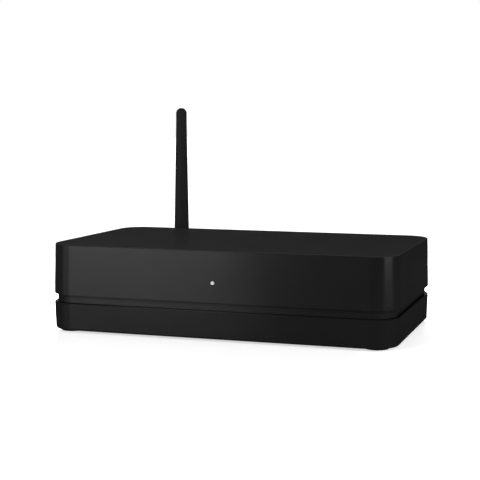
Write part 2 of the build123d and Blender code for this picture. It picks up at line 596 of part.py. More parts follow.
# Group switch: a can with a slot in its face, and a slider with three places 2 mm apart
GROUP_BODY_WIDTH = 11.4
GROUP_BODY_HEIGHT = 6.4
GROUP_BODY_FRONT_Y = 43.6
GROUP_WALL = 0.6
GROUP_FACE_SLOT_HEIGHT = 2.5
GROUP_CARRIAGE_WIDTH = 5.6
GROUP_LEVER_WIDTH = 2.0
GROUP_LEVER_HEIGHT = 2.2
GROUP_LEVER_Y = 53.2
GROUP_LEVER_CHAMFER = 0.3
SLIDE_GAP = 0.15

with BuildPart() as group_switch_body:
    with BuildSketch(upright(PANEL_INNER_Y)):
        with Locations((GROUP_X, GROUP_Z)):
            Rectangle(GROUP_BODY_WIDTH, GROUP_BODY_HEIGHT)
    extrude(amount=PANEL_INNER_Y - GROUP_BODY_FRONT_Y)
    with BuildSketch(upright(PANEL_INNER_Y - GROUP_WALL)):
        with Locations((GROUP_X, GROUP_Z)):
            Rectangle(GROUP_BODY_WIDTH - 2 * GROUP_WALL, GROUP_BODY_HEIGHT - 2 * GROUP_WALL)
    extrude(amount=PANEL_INNER_Y - GROUP_BODY_FRONT_Y - 2 * GROUP_WALL, mode=Mode.SUBTRACT)
    with BuildSketch(upright(PANEL_INNER_Y)):
        with Locations((GROUP_X, GROUP_Z)):
            Rectangle(GROUP_SLOT_WIDTH, GROUP_FACE_SLOT_HEIGHT)
    extrude(amount=GROUP_WALL, mode=Mode.SUBTRACT)
group_switch_body.part.label = "group_switch_body"
export_step(group_switch_body.part, "parts/group_switch_body.step")

with BuildPart() as group_switch_slider:
    carriage_rear_y = PANEL_INNER_Y - GROUP_WALL - SLIDE_GAP
    carriage_front_y = GROUP_BODY_FRONT_Y + GROUP_WALL + SLIDE_GAP
    with BuildSketch(upright(carriage_rear_y)):
        with Locations((GROUP_X, GROUP_Z)):
            Rectangle(GROUP_CARRIAGE_WIDTH, GROUP_BODY_HEIGHT - 2 * GROUP_WALL - 2 * SLIDE_GAP)
    extrude(amount=carriage_rear_y - carriage_front_y)
    with BuildSketch(upright(GROUP_LEVER_Y)):
        with Locations((GROUP_X, GROUP_Z)):
            Rectangle(GROUP_LEVER_WIDTH, GROUP_LEVER_HEIGHT)
    extrude(amount=GROUP_LEVER_Y - carriage_rear_y)
    chamfer(group_switch_slider.faces().sort_by(Axis.Y)[-1].edges(), length=GROUP_LEVER_CHAMFER)
group_switch_slider.part.label = "group_switch_slider"
export_step(group_switch_slider.part, "parts/group_switch_slider.step")

# Pair button: a flanged cap held by the panel, with a stub in the bore of the switch behind it
PAIR_SWITCH_WIDTH = 6.2
PAIR_SWITCH_HEIGHT = 6.0
PAIR_SWITCH_FRONT_Y = 42.6
PAIR_SWITCH_REAR_Y = 46.4
PAIR_BORE_RADIUS = 1.35
PAIR_BORE_DEPTH = 2.2
PAIR_FLANGE_RADIUS = 2.5
PAIR_FLANGE = 0.9
PAIR_FLANGE_GAP = 0.1
PAIR_FLANGE_REAR_Y = PANEL_INNER_Y - PAIR_FLANGE_GAP
PAIR_CAP_Y = 50.9
PAIR_CAP_CHAMFER = 0.3
PAIR_STUB_RADIUS = 1.25
PAIR_STUB_FRONT_Y = 45.2

with BuildPart() as pair_button_switch:
    with Locations((PAIR_X, PAIR_SWITCH_REAR_Y, BOARD_TOP_Z)):
        Box(PAIR_SWITCH_WIDTH, PAIR_SWITCH_REAR_Y - PAIR_SWITCH_FRONT_Y, PAIR_SWITCH_HEIGHT,
            align=(Align.CENTER, Align.MAX, Align.MIN))
    with Locations(facing_back(PAIR_X, PAIR_SWITCH_REAR_Y, PAIR_Z)):
        Hole(PAIR_BORE_RADIUS, PAIR_BORE_DEPTH)
pair_button_switch.part.label = "pair_button_switch"
export_step(pair_button_switch.part, "parts/pair_button_switch.step")

with BuildPart() as pair_button_cap:
    with Locations(facing_back(PAIR_X, PAIR_CAP_Y, PAIR_Z)):
        Cylinder(PAIR_STEM_RADIUS, PAIR_CAP_Y - PAIR_FLANGE_REAR_Y + PAIR_FLANGE / 2, align=OUTER_END)
    with Locations(facing_back(PAIR_X, PAIR_FLANGE_REAR_Y, PAIR_Z)):
        Cylinder(PAIR_FLANGE_RADIUS, PAIR_FLANGE, align=OUTER_END)
        Cylinder(PAIR_STUB_RADIUS, PAIR_FLANGE_REAR_Y - PAIR_STUB_FRONT_Y, align=OUTER_END)
    chamfer(pair_button_cap.edges().group_by(Axis.Y)[-1], length=PAIR_CAP_CHAMFER)
pair_button_cap.part.label = "pair_button_cap"
export_step(pair_button_cap.part, "parts/pair_button_cap.step")

# Service socket: folded metal shell round a plastic tongue
USB_FRONT_Y = 41.4
USB_REAR_Y = 50.6
USB_WALL = 0.35
USB_BLOCK = 1.4
USB_TONGUE_WIDTH = 4.6
USB_TONGUE_HEIGHT = 1.1
USB_TONGUE_RECESS = 1.0

with BuildPart() as usb_socket_shell:
    with BuildSketch(upright(USB_REAR_Y)):
        with Locations((USB_X, USB_Z)):
            RectangleRounded(USB_WIDTH, USB_HEIGHT, USB_CORNER)
    extrude(amount=USB_REAR_Y - USB_FRONT_Y)
    offset(amount=-USB_WALL, openings=usb_socket_shell.faces().sort_by(Axis.Y)[-1])
usb_socket_shell.part.label = "usb_socket_shell"
export_step(usb_socket_shell.part, "parts/usb_socket_shell.step")

with BuildPart() as usb_socket_tongue:
    block_front_y = USB_FRONT_Y + USB_WALL
    with BuildSketch(upright(block_front_y + USB_BLOCK)):
        with Locations((USB_X, USB_Z)):
            RectangleRounded(USB_WIDTH - 2 * (USB_WALL + SEAT_GAP), USB_HEIGHT - 2 * (USB_WALL + SEAT_GAP),
                             USB_CORNER - USB_WALL)
    extrude(amount=USB_BLOCK)
    with BuildSketch(upright(USB_REAR_Y - USB_TONGUE_RECESS)):
        with Locations((USB_X, USB_Z)):
            Rectangle(USB_TONGUE_WIDTH, USB_TONGUE_HEIGHT)
    extrude(amount=USB_REAR_Y - USB_TONGUE_RECESS - block_front_y)
usb_socket_tongue.part.label = "usb_socket_tongue"
export_step(usb_socket_tongue.part, "parts/usb_socket_tongue.step")

# Optical input: a block with a square mouth, and a flap behind the mouth that swings inwards
OPTICAL_FRONT_Y = 37.5
OPTICAL_LIP = 1.0
OPTICAL_MOUTH = 5.9
OPTICAL_MOUTH_CHAMFER = 0.8
OPTICAL_CAVITY_WIDTH = 6.7
OPTICAL_CAVITY_LOW_Z = 24.9
OPTICAL_CAVITY_HIGH_Z = 32.9
OPTICAL_CAVITY_FRONT_Y = 40.0
SHUTTER_AXIS_Y = 48.55
SHUTTER_AXIS_Z = 32.0
SHUTTER_THICKNESS = 0.9
SHUTTER_WIDTH = 6.2
SHUTTER_LOW_Z = 25.1
SHUTTER_PIN_RADIUS = 0.5
SHUTTER_PIN_LENGTH = 7.6
SHUTTER_POCKET_RADIUS = 0.57
SHUTTER_POCKET_LENGTH = 7.9

with BuildPart() as optical_receiver:
    with BuildSketch(upright(PANEL_OUTER_Y)):
        with Locations((OPTICAL_X, OPTICAL_Z)):
            Rectangle(OPTICAL_WIDTH, OPTICAL_HEIGHT)
    extrude(amount=PANEL_OUTER_Y - OPTICAL_FRONT_Y)
    with BuildSketch(upright(PANEL_OUTER_Y)):
        with Locations((OPTICAL_X, OPTICAL_Z)):
            mouth = Rectangle(OPTICAL_MOUTH, OPTICAL_MOUTH)
        chamfer(mouth.vertices().group_by(Axis.Y)[-1], length=OPTICAL_MOUTH_CHAMFER)
    extrude(amount=OPTICAL_LIP, mode=Mode.SUBTRACT)
    with BuildSketch(upright(PANEL_OUTER_Y - OPTICAL_LIP)):
        with Locations((OPTICAL_X, (OPTICAL_CAVITY_LOW_Z + OPTICAL_CAVITY_HIGH_Z) / 2)):
            Rectangle(OPTICAL_CAVITY_WIDTH, OPTICAL_CAVITY_HIGH_Z - OPTICAL_CAVITY_LOW_Z)
    extrude(amount=PANEL_OUTER_Y - OPTICAL_LIP - OPTICAL_CAVITY_FRONT_Y, mode=Mode.SUBTRACT)
    with Locations((OPTICAL_X, SHUTTER_AXIS_Y, SHUTTER_AXIS_Z)):
        Cylinder(SHUTTER_POCKET_RADIUS, SHUTTER_POCKET_LENGTH, rotation=ALONG_X, mode=Mode.SUBTRACT)
optical_receiver.part.label = "optical_receiver"
export_step(optical_receiver.part, "parts/optical_receiver.step")

with BuildPart() as optical_shutter:
    with Locations((OPTICAL_X, SHUTTER_AXIS_Y, SHUTTER_AXIS_Z)):
        Box(SHUTTER_WIDTH, SHUTTER_THICKNESS, SHUTTER_AXIS_Z - SHUTTER_LOW_Z,
            align=(Align.CENTER, Align.CENTER, Align.MAX))
        Cylinder(SHUTTER_PIN_RADIUS, SHUTTER_PIN_LENGTH, rotation=ALONG_X)
optical_shutter.part.label = "optical_shutter"
export_step(optical_shutter.part, "parts/optical_shutter.step")

# Stereo phono pair: one block, two metal sleeves and their coloured inserts
LINE_BLOCK_WIDTH = 28.0
LINE_BLOCK_FRONT_Y = 34.0
LINE_BLOCK_HIGH_Z = 39.2
LINE_BLOCK_CHAMFER = 0.6
SLEEVE_TIP_Y = 59.0
SLEEVE_FRONT_Y = 44.6
SLEEVE_WALL = 0.7
SLEEVE_FLANGE_RADIUS = 5.0
SLEEVE_FLANGE = 0.8
INSERT_RECESS = 0.6
INSERT_HOLE_RADIUS = 1.65
INSERT_HOLE_DEPTH = 11.4
SLEEVE_POCKET_GAP = 0.05
SLEEVE_CHAMFER = 0.35
JACK_SCREW_PILOT_DEPTH = 8.0

with BuildPart() as line_jack_housing:
    with Locations((LINE_X, LINE_BLOCK_FRONT_Y, BOARD_TOP_Z)):
        Box(LINE_BLOCK_WIDTH, PANEL_INNER_Y - LINE_BLOCK_FRONT_Y, LINE_BLOCK_HIGH_Z - BOARD_TOP_Z,
            align=(Align.CENTER, Align.MIN, Align.MIN))
    chamfer(line_jack_housing.edges().filter_by(Axis.Y), length=LINE_BLOCK_CHAMFER)
    with Locations(*[facing_back(x, PANEL_INNER_Y, LINE_Z) for x in LINE_XS]):
        Hole(SLEEVE_RADIUS + SLEEVE_POCKET_GAP, PANEL_INNER_Y - SLEEVE_FRONT_Y)
    with Locations(facing_back(LINE_X, PANEL_INNER_Y, JACK_SCREW_Z)):
        Hole(JACK_SCREW_RADIUS + SCREW_GAP, JACK_SCREW_PILOT_DEPTH)
line_jack_housing.part.label = "line_jack_housing"
export_step(line_jack_housing.part, "parts/line_jack_housing.step")

with BuildPart() as line_jack_sleeves:
    with Locations(*[facing_back(x, SLEEVE_TIP_Y, LINE_Z) for x in LINE_XS]):
        Cylinder(SLEEVE_RADIUS, SLEEVE_TIP_Y - SLEEVE_FRONT_Y, align=OUTER_END)
    with Locations(*[facing_back(x, PANEL_OUTER_Y + SLEEVE_FLANGE, LINE_Z) for x in LINE_XS]):
        Cylinder(SLEEVE_FLANGE_RADIUS, SLEEVE_FLANGE, align=OUTER_END)
    chamfer(line_jack_sleeves.edges().group_by(Axis.Y)[-1], length=SLEEVE_CHAMFER)
    with Locations(*[facing_back(x, SLEEVE_TIP_Y, LINE_Z) for x in LINE_XS]):
        Hole(SLEEVE_RADIUS - SLEEVE_WALL, SLEEVE_TIP_Y - SLEEVE_FRONT_Y)
line_jack_sleeves.part.label = "line_jack_sleeves"
export_step(line_jack_sleeves.part, "parts/line_jack_sleeves.step")

with BuildPart() as line_jack_insert_left:
    with Locations(facing_back(LINE_XS[0], SLEEVE_TIP_Y - INSERT_RECESS, LINE_Z)):
        Cylinder(SLEEVE_RADIUS - SLEEVE_WALL - SEAT_GAP, SLEEVE_TIP_Y - INSERT_RECESS - SLEEVE_FRONT_Y,
                 align=OUTER_END)
        Hole(INSERT_HOLE_RADIUS, INSERT_HOLE_DEPTH)
line_jack_insert_left.part.label = "line_jack_insert_left"
export_step(line_jack_insert_left.part, "parts/line_jack_insert_left.step")

with BuildPart() as line_jack_insert_right:
    with Locations(facing_back(LINE_XS[1], SLEEVE_TIP_Y - INSERT_RECESS, LINE_Z)):
        Cylinder(SLEEVE_RADIUS - SLEEVE_WALL - SEAT_GAP, SLEEVE_TIP_Y - INSERT_RECESS - SLEEVE_FRONT_Y,
                 align=OUTER_END)
        Hole(INSERT_HOLE_RADIUS, INSERT_HOLE_DEPTH)
line_jack_insert_right.part.label = "line_jack_insert_right"
export_step(line_jack_insert_right.part, "parts/line_jack_insert_right.step")

# Screw that holds the panel to the phono block
JACK_SCREW_HEAD_RADIUS = 2.5
JACK_SCREW_HEAD = 1.5
JACK_SCREW_LENGTH = 8.0
JACK_SCREW_HEAD_CHAMFER = 0.6
JACK_RECESS_SPAN = 2.6
JACK_RECESS_WIDTH = 0.6
JACK_RECESS_DEPTH = 0.9

with BuildPart() as jack_screw:
    with Locations(facing_back(LINE_X, PANEL_OUTER_Y + JACK_SCREW_HEAD, JACK_SCREW_Z)):
        Cylinder(JACK_SCREW_HEAD_RADIUS, JACK_SCREW_HEAD, align=OUTER_END)
    chamfer(jack_screw.edges().group_by(Axis.Y)[-1], length=JACK_SCREW_HEAD_CHAMFER)
    with Locations(facing_back(LINE_X, PANEL_OUTER_Y, JACK_SCREW_Z)):
        Cylinder(JACK_SCREW_RADIUS, JACK_SCREW_LENGTH, align=OUTER_END)
    with Locations(facing_back(LINE_X, PANEL_OUTER_Y + JACK_SCREW_HEAD, JACK_SCREW_Z)):
        Box(JACK_RECESS_SPAN, JACK_RECESS_WIDTH, 2 * JACK_RECESS_DEPTH, mode=Mode.SUBTRACT)
        Box(JACK_RECESS_WIDTH, JACK_RECESS_SPAN, 2 * JACK_RECESS_DEPTH, mode=Mode.SUBTRACT)
jack_screw.part.label = "jack_screw"
export_step(jack_screw.part, "parts/jack_screw.step")

# 3.5 mm stereo input: moulded body with its bore, and the ring nut on its nose
AUX_BODY_WIDTH = 8.0
AUX_BODY_FRONT_Y = 36.0
AUX_BODY_HIGH_Z = 31.4
AUX_NOSE_Y = 51.8
AUX_BORE_RADIUS = 1.8
AUX_BORE_LENGTH = 13.0
AUX_NUT_RADIUS = 4.1
AUX_NUT_THICKNESS = 1.2
AUX_NUT_CHAMFER = 0.3

with BuildPart() as aux_jack_body:
    with Locations((AUX_X, AUX_BODY_FRONT_Y, BOARD_TOP_Z)):
        Box(AUX_BODY_WIDTH, PANEL_INNER_Y - AUX_BODY_FRONT_Y, AUX_BODY_HIGH_Z - BOARD_TOP_Z,
            align=(Align.CENTER, Align.MIN, Align.MIN))
    with Locations(facing_back(AUX_X, AUX_NOSE_Y, AUX_Z)):
        Cylinder(AUX_NOSE_RADIUS, AUX_NOSE_Y - PANEL_INNER_Y + NOSE_OVERLAP, align=OUTER_END)
        Hole(AUX_BORE_RADIUS, AUX_BORE_LENGTH)
aux_jack_body.part.label = "aux_jack_body"
export_step(aux_jack_body.part, "parts/aux_jack_body.step")

with BuildPart() as aux_jack_nut:
    with BuildSketch(upright(PANEL_OUTER_Y + AUX_NUT_THICKNESS)):
        with Locations((AUX_X, AUX_Z)):
            Circle(AUX_NUT_RADIUS)
            Circle(AUX_NOSE_RADIUS + SEAT_GAP, mode=Mode.SUBTRACT)
    extrude(amount=AUX_NUT_THICKNESS)
    chamfer(aux_jack_nut.edges().group_by(Axis.Y)[-1].sort_by(SortBy.LENGTH)[-1], length=AUX_NUT_CHAMFER)
aux_jack_nut.part.label = "aux_jack_nut"
export_step(aux_jack_nut.part, "parts/aux_jack_nut.step")

# Coupling nut of the antenna: fluted, tight on the socket, with a lip that holds the swivel barrel
COUPLING_LOW_Y = 53.3
COUPLING_HIGH_Y = 63.0
COUPLING_RADIUS = 4.75
COUPLING_LIP_Y = 61.0
COUPLING_LIP_RADIUS = 2.6
COUPLING_EDGE = 0.6
FLUTE_COUNT = 12
FLUTE_RADIUS = 0.5
FLUTE_STANDOFF = 0.15
FLUTE_LENGTH = 6.5

with BuildPart() as antenna_coupling_nut:
    with Locations(facing_back(ANTENNA_X, COUPLING_HIGH_Y, ANTENNA_Z)):
        Cylinder(COUPLING_RADIUS, COUPLING_HIGH_Y - COUPLING_LOW_Y, align=OUTER_END)
    chamfer(antenna_coupling_nut.edges().filter_by(GeomType.CIRCLE), length=COUPLING_EDGE)
    with Locations(facing_back(ANTENNA_X, COUPLING_HIGH_Y, ANTENNA_Z)):
        Hole(COUPLING_LIP_RADIUS, COUPLING_HIGH_Y - COUPLING_LOW_Y)
    with Locations(facing_back(ANTENNA_X, COUPLING_LIP_Y, ANTENNA_Z)):
        Hole(THREAD_RADIUS + SEAT_GAP, COUPLING_LIP_Y - COUPLING_LOW_Y)
    with BuildSketch(upright((COUPLING_LOW_Y + COUPLING_HIGH_Y + FLUTE_LENGTH) / 2)):
        with Locations((ANTENNA_X, ANTENNA_Z)):
            with PolarLocations(COUPLING_RADIUS + FLUTE_STANDOFF, FLUTE_COUNT):
                Circle(FLUTE_RADIUS)
    extrude(amount=FLUTE_LENGTH, mode=Mode.SUBTRACT)
antenna_coupling_nut.part.label = "antenna_coupling_nut"
export_step(antenna_coupling_nut.part, "parts/antenna_coupling_nut.step")

# Swivel barrel: turns about the socket's axis, and its fork carries the tilt pin
BARREL_RADIUS = 4.7
BARREL_FRONT_Y = 63.3
FORK_DEPTH = 5.0
FORK_FLOOR_Y = PIVOT_Y - FORK_DEPTH
FORK_GAP = 4.3
FORK_CUT_REACH = 3 * BARREL_RADIUS
STEM_RADIUS = 2.52
STEM_FLANGE_RADIUS = 2.98
STEM_FLANGE_REAR_Y = 60.8
STEM_FLANGE_FRONT_Y = 59.8
CONTACT_PIN_RADIUS = 0.6
CONTACT_PIN_FRONT_Y = 54.5
HINGE_PIN_RADIUS = 1.0
HINGE_PIN_LENGTH = 9.0
EAR_HOLE_GAP = 0.01
TONGUE_HOLE_GAP = 0.06

with BuildPart() as antenna_swivel_barrel:
    with Locations(facing_back(ANTENNA_X, PIVOT_Y + BARREL_RADIUS, ANTENNA_Z)):
        Cylinder(BARREL_RADIUS, PIVOT_Y + BARREL_RADIUS - BARREL_FRONT_Y, align=OUTER_END)
    # The fork's end is rounded about the tilt pin
    with BuildSketch(Plane.YZ.offset(ANTENNA_X - BARREL_RADIUS)):
        with Locations((PIVOT_Y, ANTENNA_Z)):
            Circle(BARREL_RADIUS)
        with Locations(((BARREL_FRONT_Y + PIVOT_Y) / 2, ANTENNA_Z)):
            Rectangle(PIVOT_Y - BARREL_FRONT_Y, 2 * BARREL_RADIUS)
    extrude(amount=2 * BARREL_RADIUS, mode=Mode.INTERSECT)
    with Locations((ANTENNA_X, FORK_FLOOR_Y, ANTENNA_Z)):
        Box(FORK_GAP, FORK_CUT_REACH, FORK_CUT_REACH, align=(Align.CENTER, Align.MIN, Align.CENTER),
            mode=Mode.SUBTRACT)
    with Locations((ANTENNA_X, PIVOT_Y, ANTENNA_Z)):
        Cylinder(HINGE_PIN_RADIUS + EAR_HOLE_GAP, FORK_CUT_REACH, rotation=ALONG_X, mode=Mode.SUBTRACT)
    # Stem through the nut's lip, flange behind it, and the centre contact
    with Locations(facing_back(ANTENNA_X, BARREL_FRONT_Y, ANTENNA_Z)):
        Cylinder(STEM_RADIUS, BARREL_FRONT_Y - STEM_FLANGE_FRONT_Y, align=OUTER_END)
        Cylinder(CONTACT_PIN_RADIUS, BARREL_FRONT_Y - CONTACT_PIN_FRONT_Y, align=OUTER_END)
    with Locations(facing_back(ANTENNA_X, STEM_FLANGE_REAR_Y, ANTENNA_Z)):
        Cylinder(STEM_FLANGE_RADIUS, STEM_FLANGE_REAR_Y - STEM_FLANGE_FRONT_Y, align=OUTER_END)
antenna_swivel_barrel.part.label = "antenna_swivel_barrel"
export_step(antenna_swivel_barrel.part, "parts/antenna_swivel_barrel.step")

with BuildPart() as antenna_hinge_pin:
    with Locations((ANTENNA_X, PIVOT_Y, ANTENNA_Z)):
        Cylinder(HINGE_PIN_RADIUS, HINGE_PIN_LENGTH, rotation=ALONG_X)
antenna_hinge_pin.part.label = "antenna_hinge_pin"
export_step(antenna_hinge_pin.part, "parts/antenna_hinge_pin.step")

# Knuckle: the tongue in the fork, the collar that continues the rod, and the plug inside it
KNUCKLE_THICKNESS = 4.1
KNUCKLE_RADIUS = 4.5
KNUCKLE_NECK_DEPTH = 8.6
KNUCKLE_PLUG_RADIUS = 3.0
KNUCKLE_PLUG_LENGTH = 5.0

with BuildPart() as antenna_knuckle:
    with BuildSketch(Plane.YZ.offset(ANTENNA_X - KNUCKLE_THICKNESS / 2)):
        with Locations((PIVOT_Y, ANTENNA_Z)):
            Circle(KNUCKLE_RADIUS)
        with Locations((PIVOT_Y, (ANTENNA_Z + KNUCKLE_COLLAR_Z) / 2)):
            Rectangle(KNUCKLE_NECK_DEPTH, KNUCKLE_COLLAR_Z - ANTENNA_Z)
    extrude(amount=KNUCKLE_THICKNESS)
    with BuildSketch(Plane.XY.offset(KNUCKLE_COLLAR_Z)):
        with Locations((ANTENNA_X, PIVOT_Y)):
            Circle(rod_radius(KNUCKLE_COLLAR_Z))
    with BuildSketch(Plane.XY.offset(ROD_LOW_Z)):
        with Locations((ANTENNA_X, PIVOT_Y)):
            Circle(rod_radius(ROD_LOW_Z))
    loft(ruled=True)
    with Locations((ANTENNA_X, PIVOT_Y, ROD_LOW_Z)):
        Cylinder(KNUCKLE_PLUG_RADIUS, KNUCKLE_PLUG_LENGTH, align=INNER_END)
    with Locations((ANTENNA_X, PIVOT_Y, ANTENNA_Z)):
        Cylinder(HINGE_PIN_RADIUS + TONGUE_HOLE_GAP, 2 * KNUCKLE_THICKNESS, rotation=ALONG_X,
                 mode=Mode.SUBTRACT)
antenna_knuckle.part.label = "antenna_knuckle"
export_step(antenna_knuckle.part, "parts/antenna_knuckle.step")

# Rod: a tapered tube, nearly parallel under its domed tip, turned about its own axis
ROD_BORE_RADIUS = 2.2
ROD_BORE_TOP_Z = 109.0
ROD_SOCKET_END_GAP = 0.4
ROD_SOCKET_TOP_Z = ROD_LOW_Z + KNUCKLE_PLUG_LENGTH + ROD_SOCKET_END_GAP
shoulder_z = ROD_TIP_Z - ROD_SHOULDER_BELOW_TIP
dome_z = ROD_TIP_Z - ROD_TIP_ROUND
dome_flat = ROD_TIP_RADIUS - ROD_TIP_ROUND
rod_axis = Axis((ANTENNA_X, PIVOT_Y, 0), (0, 0, 1))

with BuildPart() as antenna_whip:
    with BuildSketch(Plane(origin=(ANTENNA_X, PIVOT_Y, 0), x_dir=(1, 0, 0), z_dir=(0, -1, 0))):
        with BuildLine():
            Line((0, ROD_BORE_TOP_Z), (0, ROD_TIP_Z))
            Line((0, ROD_TIP_Z), (dome_flat, ROD_TIP_Z))
            JernArc((dome_flat, ROD_TIP_Z), (1, 0), ROD_TIP_ROUND, -RIGHT_ANGLE)
            Line((ROD_TIP_RADIUS, dome_z), (ROD_SHOULDER_RADIUS, shoulder_z))
            Line((ROD_SHOULDER_RADIUS, shoulder_z), (rod_radius(ROD_LOW_Z), ROD_LOW_Z))
            Polyline((rod_radius(ROD_LOW_Z), ROD_LOW_Z), (KNUCKLE_PLUG_RADIUS + SEAT_GAP, ROD_LOW_Z),
                     (KNUCKLE_PLUG_RADIUS + SEAT_GAP, ROD_SOCKET_TOP_Z), (ROD_BORE_RADIUS, ROD_SOCKET_TOP_Z),
                     (ROD_BORE_RADIUS, ROD_BORE_TOP_Z), (0, ROD_BORE_TOP_Z))
        make_face()
    revolve(axis=rod_axis)
antenna_whip.part.label = "antenna_whip"
export_step(antenna_whip.part, "parts/antenna_whip.step")

# Sleeve dipole sealed inside the rod
RADIATOR_LOW_Z = ROD_LOW_Z + KNUCKLE_PLUG_LENGTH
RADIATOR_SLEEVE_RADIUS = 1.9
RADIATOR_SLEEVE_LENGTH = 27.0
RADIATOR_WIRE_RADIUS = 0.6
RADIATOR_WIRE_LENGTH = 30.0

with BuildPart() as antenna_radiator:
    with Locations((ANTENNA_X, PIVOT_Y, RADIATOR_LOW_Z)):
        Cylinder(RADIATOR_SLEEVE_RADIUS, RADIATOR_SLEEVE_LENGTH, align=INNER_END)
        Cylinder(RADIATOR_WIRE_RADIUS, RADIATOR_SLEEVE_LENGTH + RADIATOR_WIRE_LENGTH, align=INNER_END)
antenna_radiator.part.label = "antenna_radiator"
export_step(antenna_radiator.part, "parts/antenna_radiator.step")
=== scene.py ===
import json
import math

import bpy
from mathutils import Matrix, Vector

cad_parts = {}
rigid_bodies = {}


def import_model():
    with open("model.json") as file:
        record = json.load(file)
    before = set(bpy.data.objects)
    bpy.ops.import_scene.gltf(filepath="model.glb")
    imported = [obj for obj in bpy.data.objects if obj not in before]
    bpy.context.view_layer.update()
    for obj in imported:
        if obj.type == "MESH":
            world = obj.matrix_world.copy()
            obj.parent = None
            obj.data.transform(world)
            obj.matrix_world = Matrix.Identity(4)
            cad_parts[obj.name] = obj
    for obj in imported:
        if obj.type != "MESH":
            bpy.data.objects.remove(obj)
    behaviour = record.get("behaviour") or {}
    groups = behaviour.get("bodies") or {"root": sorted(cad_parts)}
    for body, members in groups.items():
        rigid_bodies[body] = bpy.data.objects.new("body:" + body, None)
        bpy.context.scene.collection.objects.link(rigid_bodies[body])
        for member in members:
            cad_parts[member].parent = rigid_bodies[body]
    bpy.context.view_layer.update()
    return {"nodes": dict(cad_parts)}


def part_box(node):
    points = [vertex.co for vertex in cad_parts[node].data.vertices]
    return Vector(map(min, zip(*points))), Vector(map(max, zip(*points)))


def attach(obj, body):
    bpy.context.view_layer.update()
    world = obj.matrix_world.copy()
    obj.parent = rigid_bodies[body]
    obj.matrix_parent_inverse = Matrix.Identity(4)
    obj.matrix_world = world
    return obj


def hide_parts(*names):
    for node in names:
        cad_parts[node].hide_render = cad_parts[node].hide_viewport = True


bl_info = {
    "name": "Wireless audio hub",
    "version": (1, 0, 0),
    "blender": (4, 5, 0),
    "location": "3D View > Sidebar > Hub",
    "description": "Finishes, antenna rod, service contacts and studio for a wireless audio hub",
    "category": "Object",
}

# The startup scene's own objects go first, so that the scene holds only the hub
for startup_object in list(bpy.data.objects):
    bpy.data.objects.remove(startup_object)

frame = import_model()

MM = 0.001

# Camera: the photograph's own frame in pixels, and where AIM, the point that the lamps face, falls in it
FRAME_PX = 480
SENSOR_WIDTH = 36.0
FOCAL_PX = 1174.5
CAMERA_YAW = math.radians(18.111)
CAMERA_PITCH = math.radians(5.877)
CAMERA_ROLL = math.radians(0.109)
CAMERA_DISTANCE = 0.6216
CLIP_START = 0.01
AIM = Vector((0.0, 0.0, 0.020))
AIM_PX = (245.72, 286.49)

# Lamps: bearing in degrees to the right of straight in front, distance, height, and size across and upwards
LAMPS = {
    "key": (-26.2, 0.9, 0.12, (0.32, 0.24)),
    "top": (-35, 0.2, 0.3, (0.16, 0.12)),
    "side": (75.5, 0.395, 0.095, (0.235, 0.17)),
    "left": (-48, 0.9, 0.13, (0.42, 0.26)),
    "rear": (-162, 0.3, 0.05, (0.35, 0.04)),
}

# Floor: half its width, and the white that it adds for camera and gloss, by distance from the hub's middle
FLOOR_HALF = 6.0
FLOOR_GLOW = [(0.2, 0.58), (0.9, 0.9)]

# Floor's gloss: its roughness by the distance to the right, low up to the hub's right end and high past it
FLOOR_ROUGHNESS = [(0.07, 0.15), (0.11, 0.9)]
FLOOR_SPECULAR = 0.45

# Antenna rod: the box of the CAD node that it stands for
ROD_LOW, ROD_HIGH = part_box("antenna_whip")
ROD_CENTRE = (ROD_LOW + ROD_HIGH) / 2
ROD_FOOT_RADIUS = (ROD_HIGH.x - ROD_LOW.x) / 2

# Service socket's tongue, and how far the contacts on its upper face stop short of its free end
TONGUE_LOW, TONGUE_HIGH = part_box("usb_socket_tongue")
TONGUE_HALF_HEIGHT = 0.55 * MM
CONTACT_SETBACK = 0.3 * MM

# Heights of the cover's lower rim and of its top face
RIM_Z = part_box("top_cover")[0].z
CROWN_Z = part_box("top_cover")[1].z

# Satin skin of the moulded plastics, a little stronger on the tray, and the antenna's own softer one
SKIN = 0.0155
SKIN_ROUGHNESS = 0.18
SKIN_IOR = 3.2
TRAY_SKIN = 1.13 * SKIN
ANTENNA_SKIN = 0.025
ANTENNA_SKIN_ROUGHNESS = 0.7

# The rear panel's body is a little rougher than the case's
PANEL_EXTRA_ROUGHNESS = 0.1

# The cover's top face is duller than its walls, with less of the skin, and its body is painted lighter as
# painted light on the top face
CROWN_SKIN = 0.1
CROWN_PAINTED_LIGHT = 6.7

# Share of that duller, painted-lighter top: each a depth below the top face over CROWN_DEPTH, and a level
CROWN_DEPTH = 1 * MM
CROWN_LEVELS = [(0.05, 1.0), (0.65, 0.0)]

# Share of the skin down the tray's neck and wall, low just below the cover's rim as painted shade from the
# rim: each a depth below the rim over the depth on the next line, and a level
RIM_SHADE_DEPTH = 6 * MM
RIM_SHADE_LEVELS = [(0.0, 0.42), (0.1, 0.46), (0.2, 0.74), (0.4, 0.98), (0.55, 1.0), (0.69, 1.0), (0.73, 0.8)]

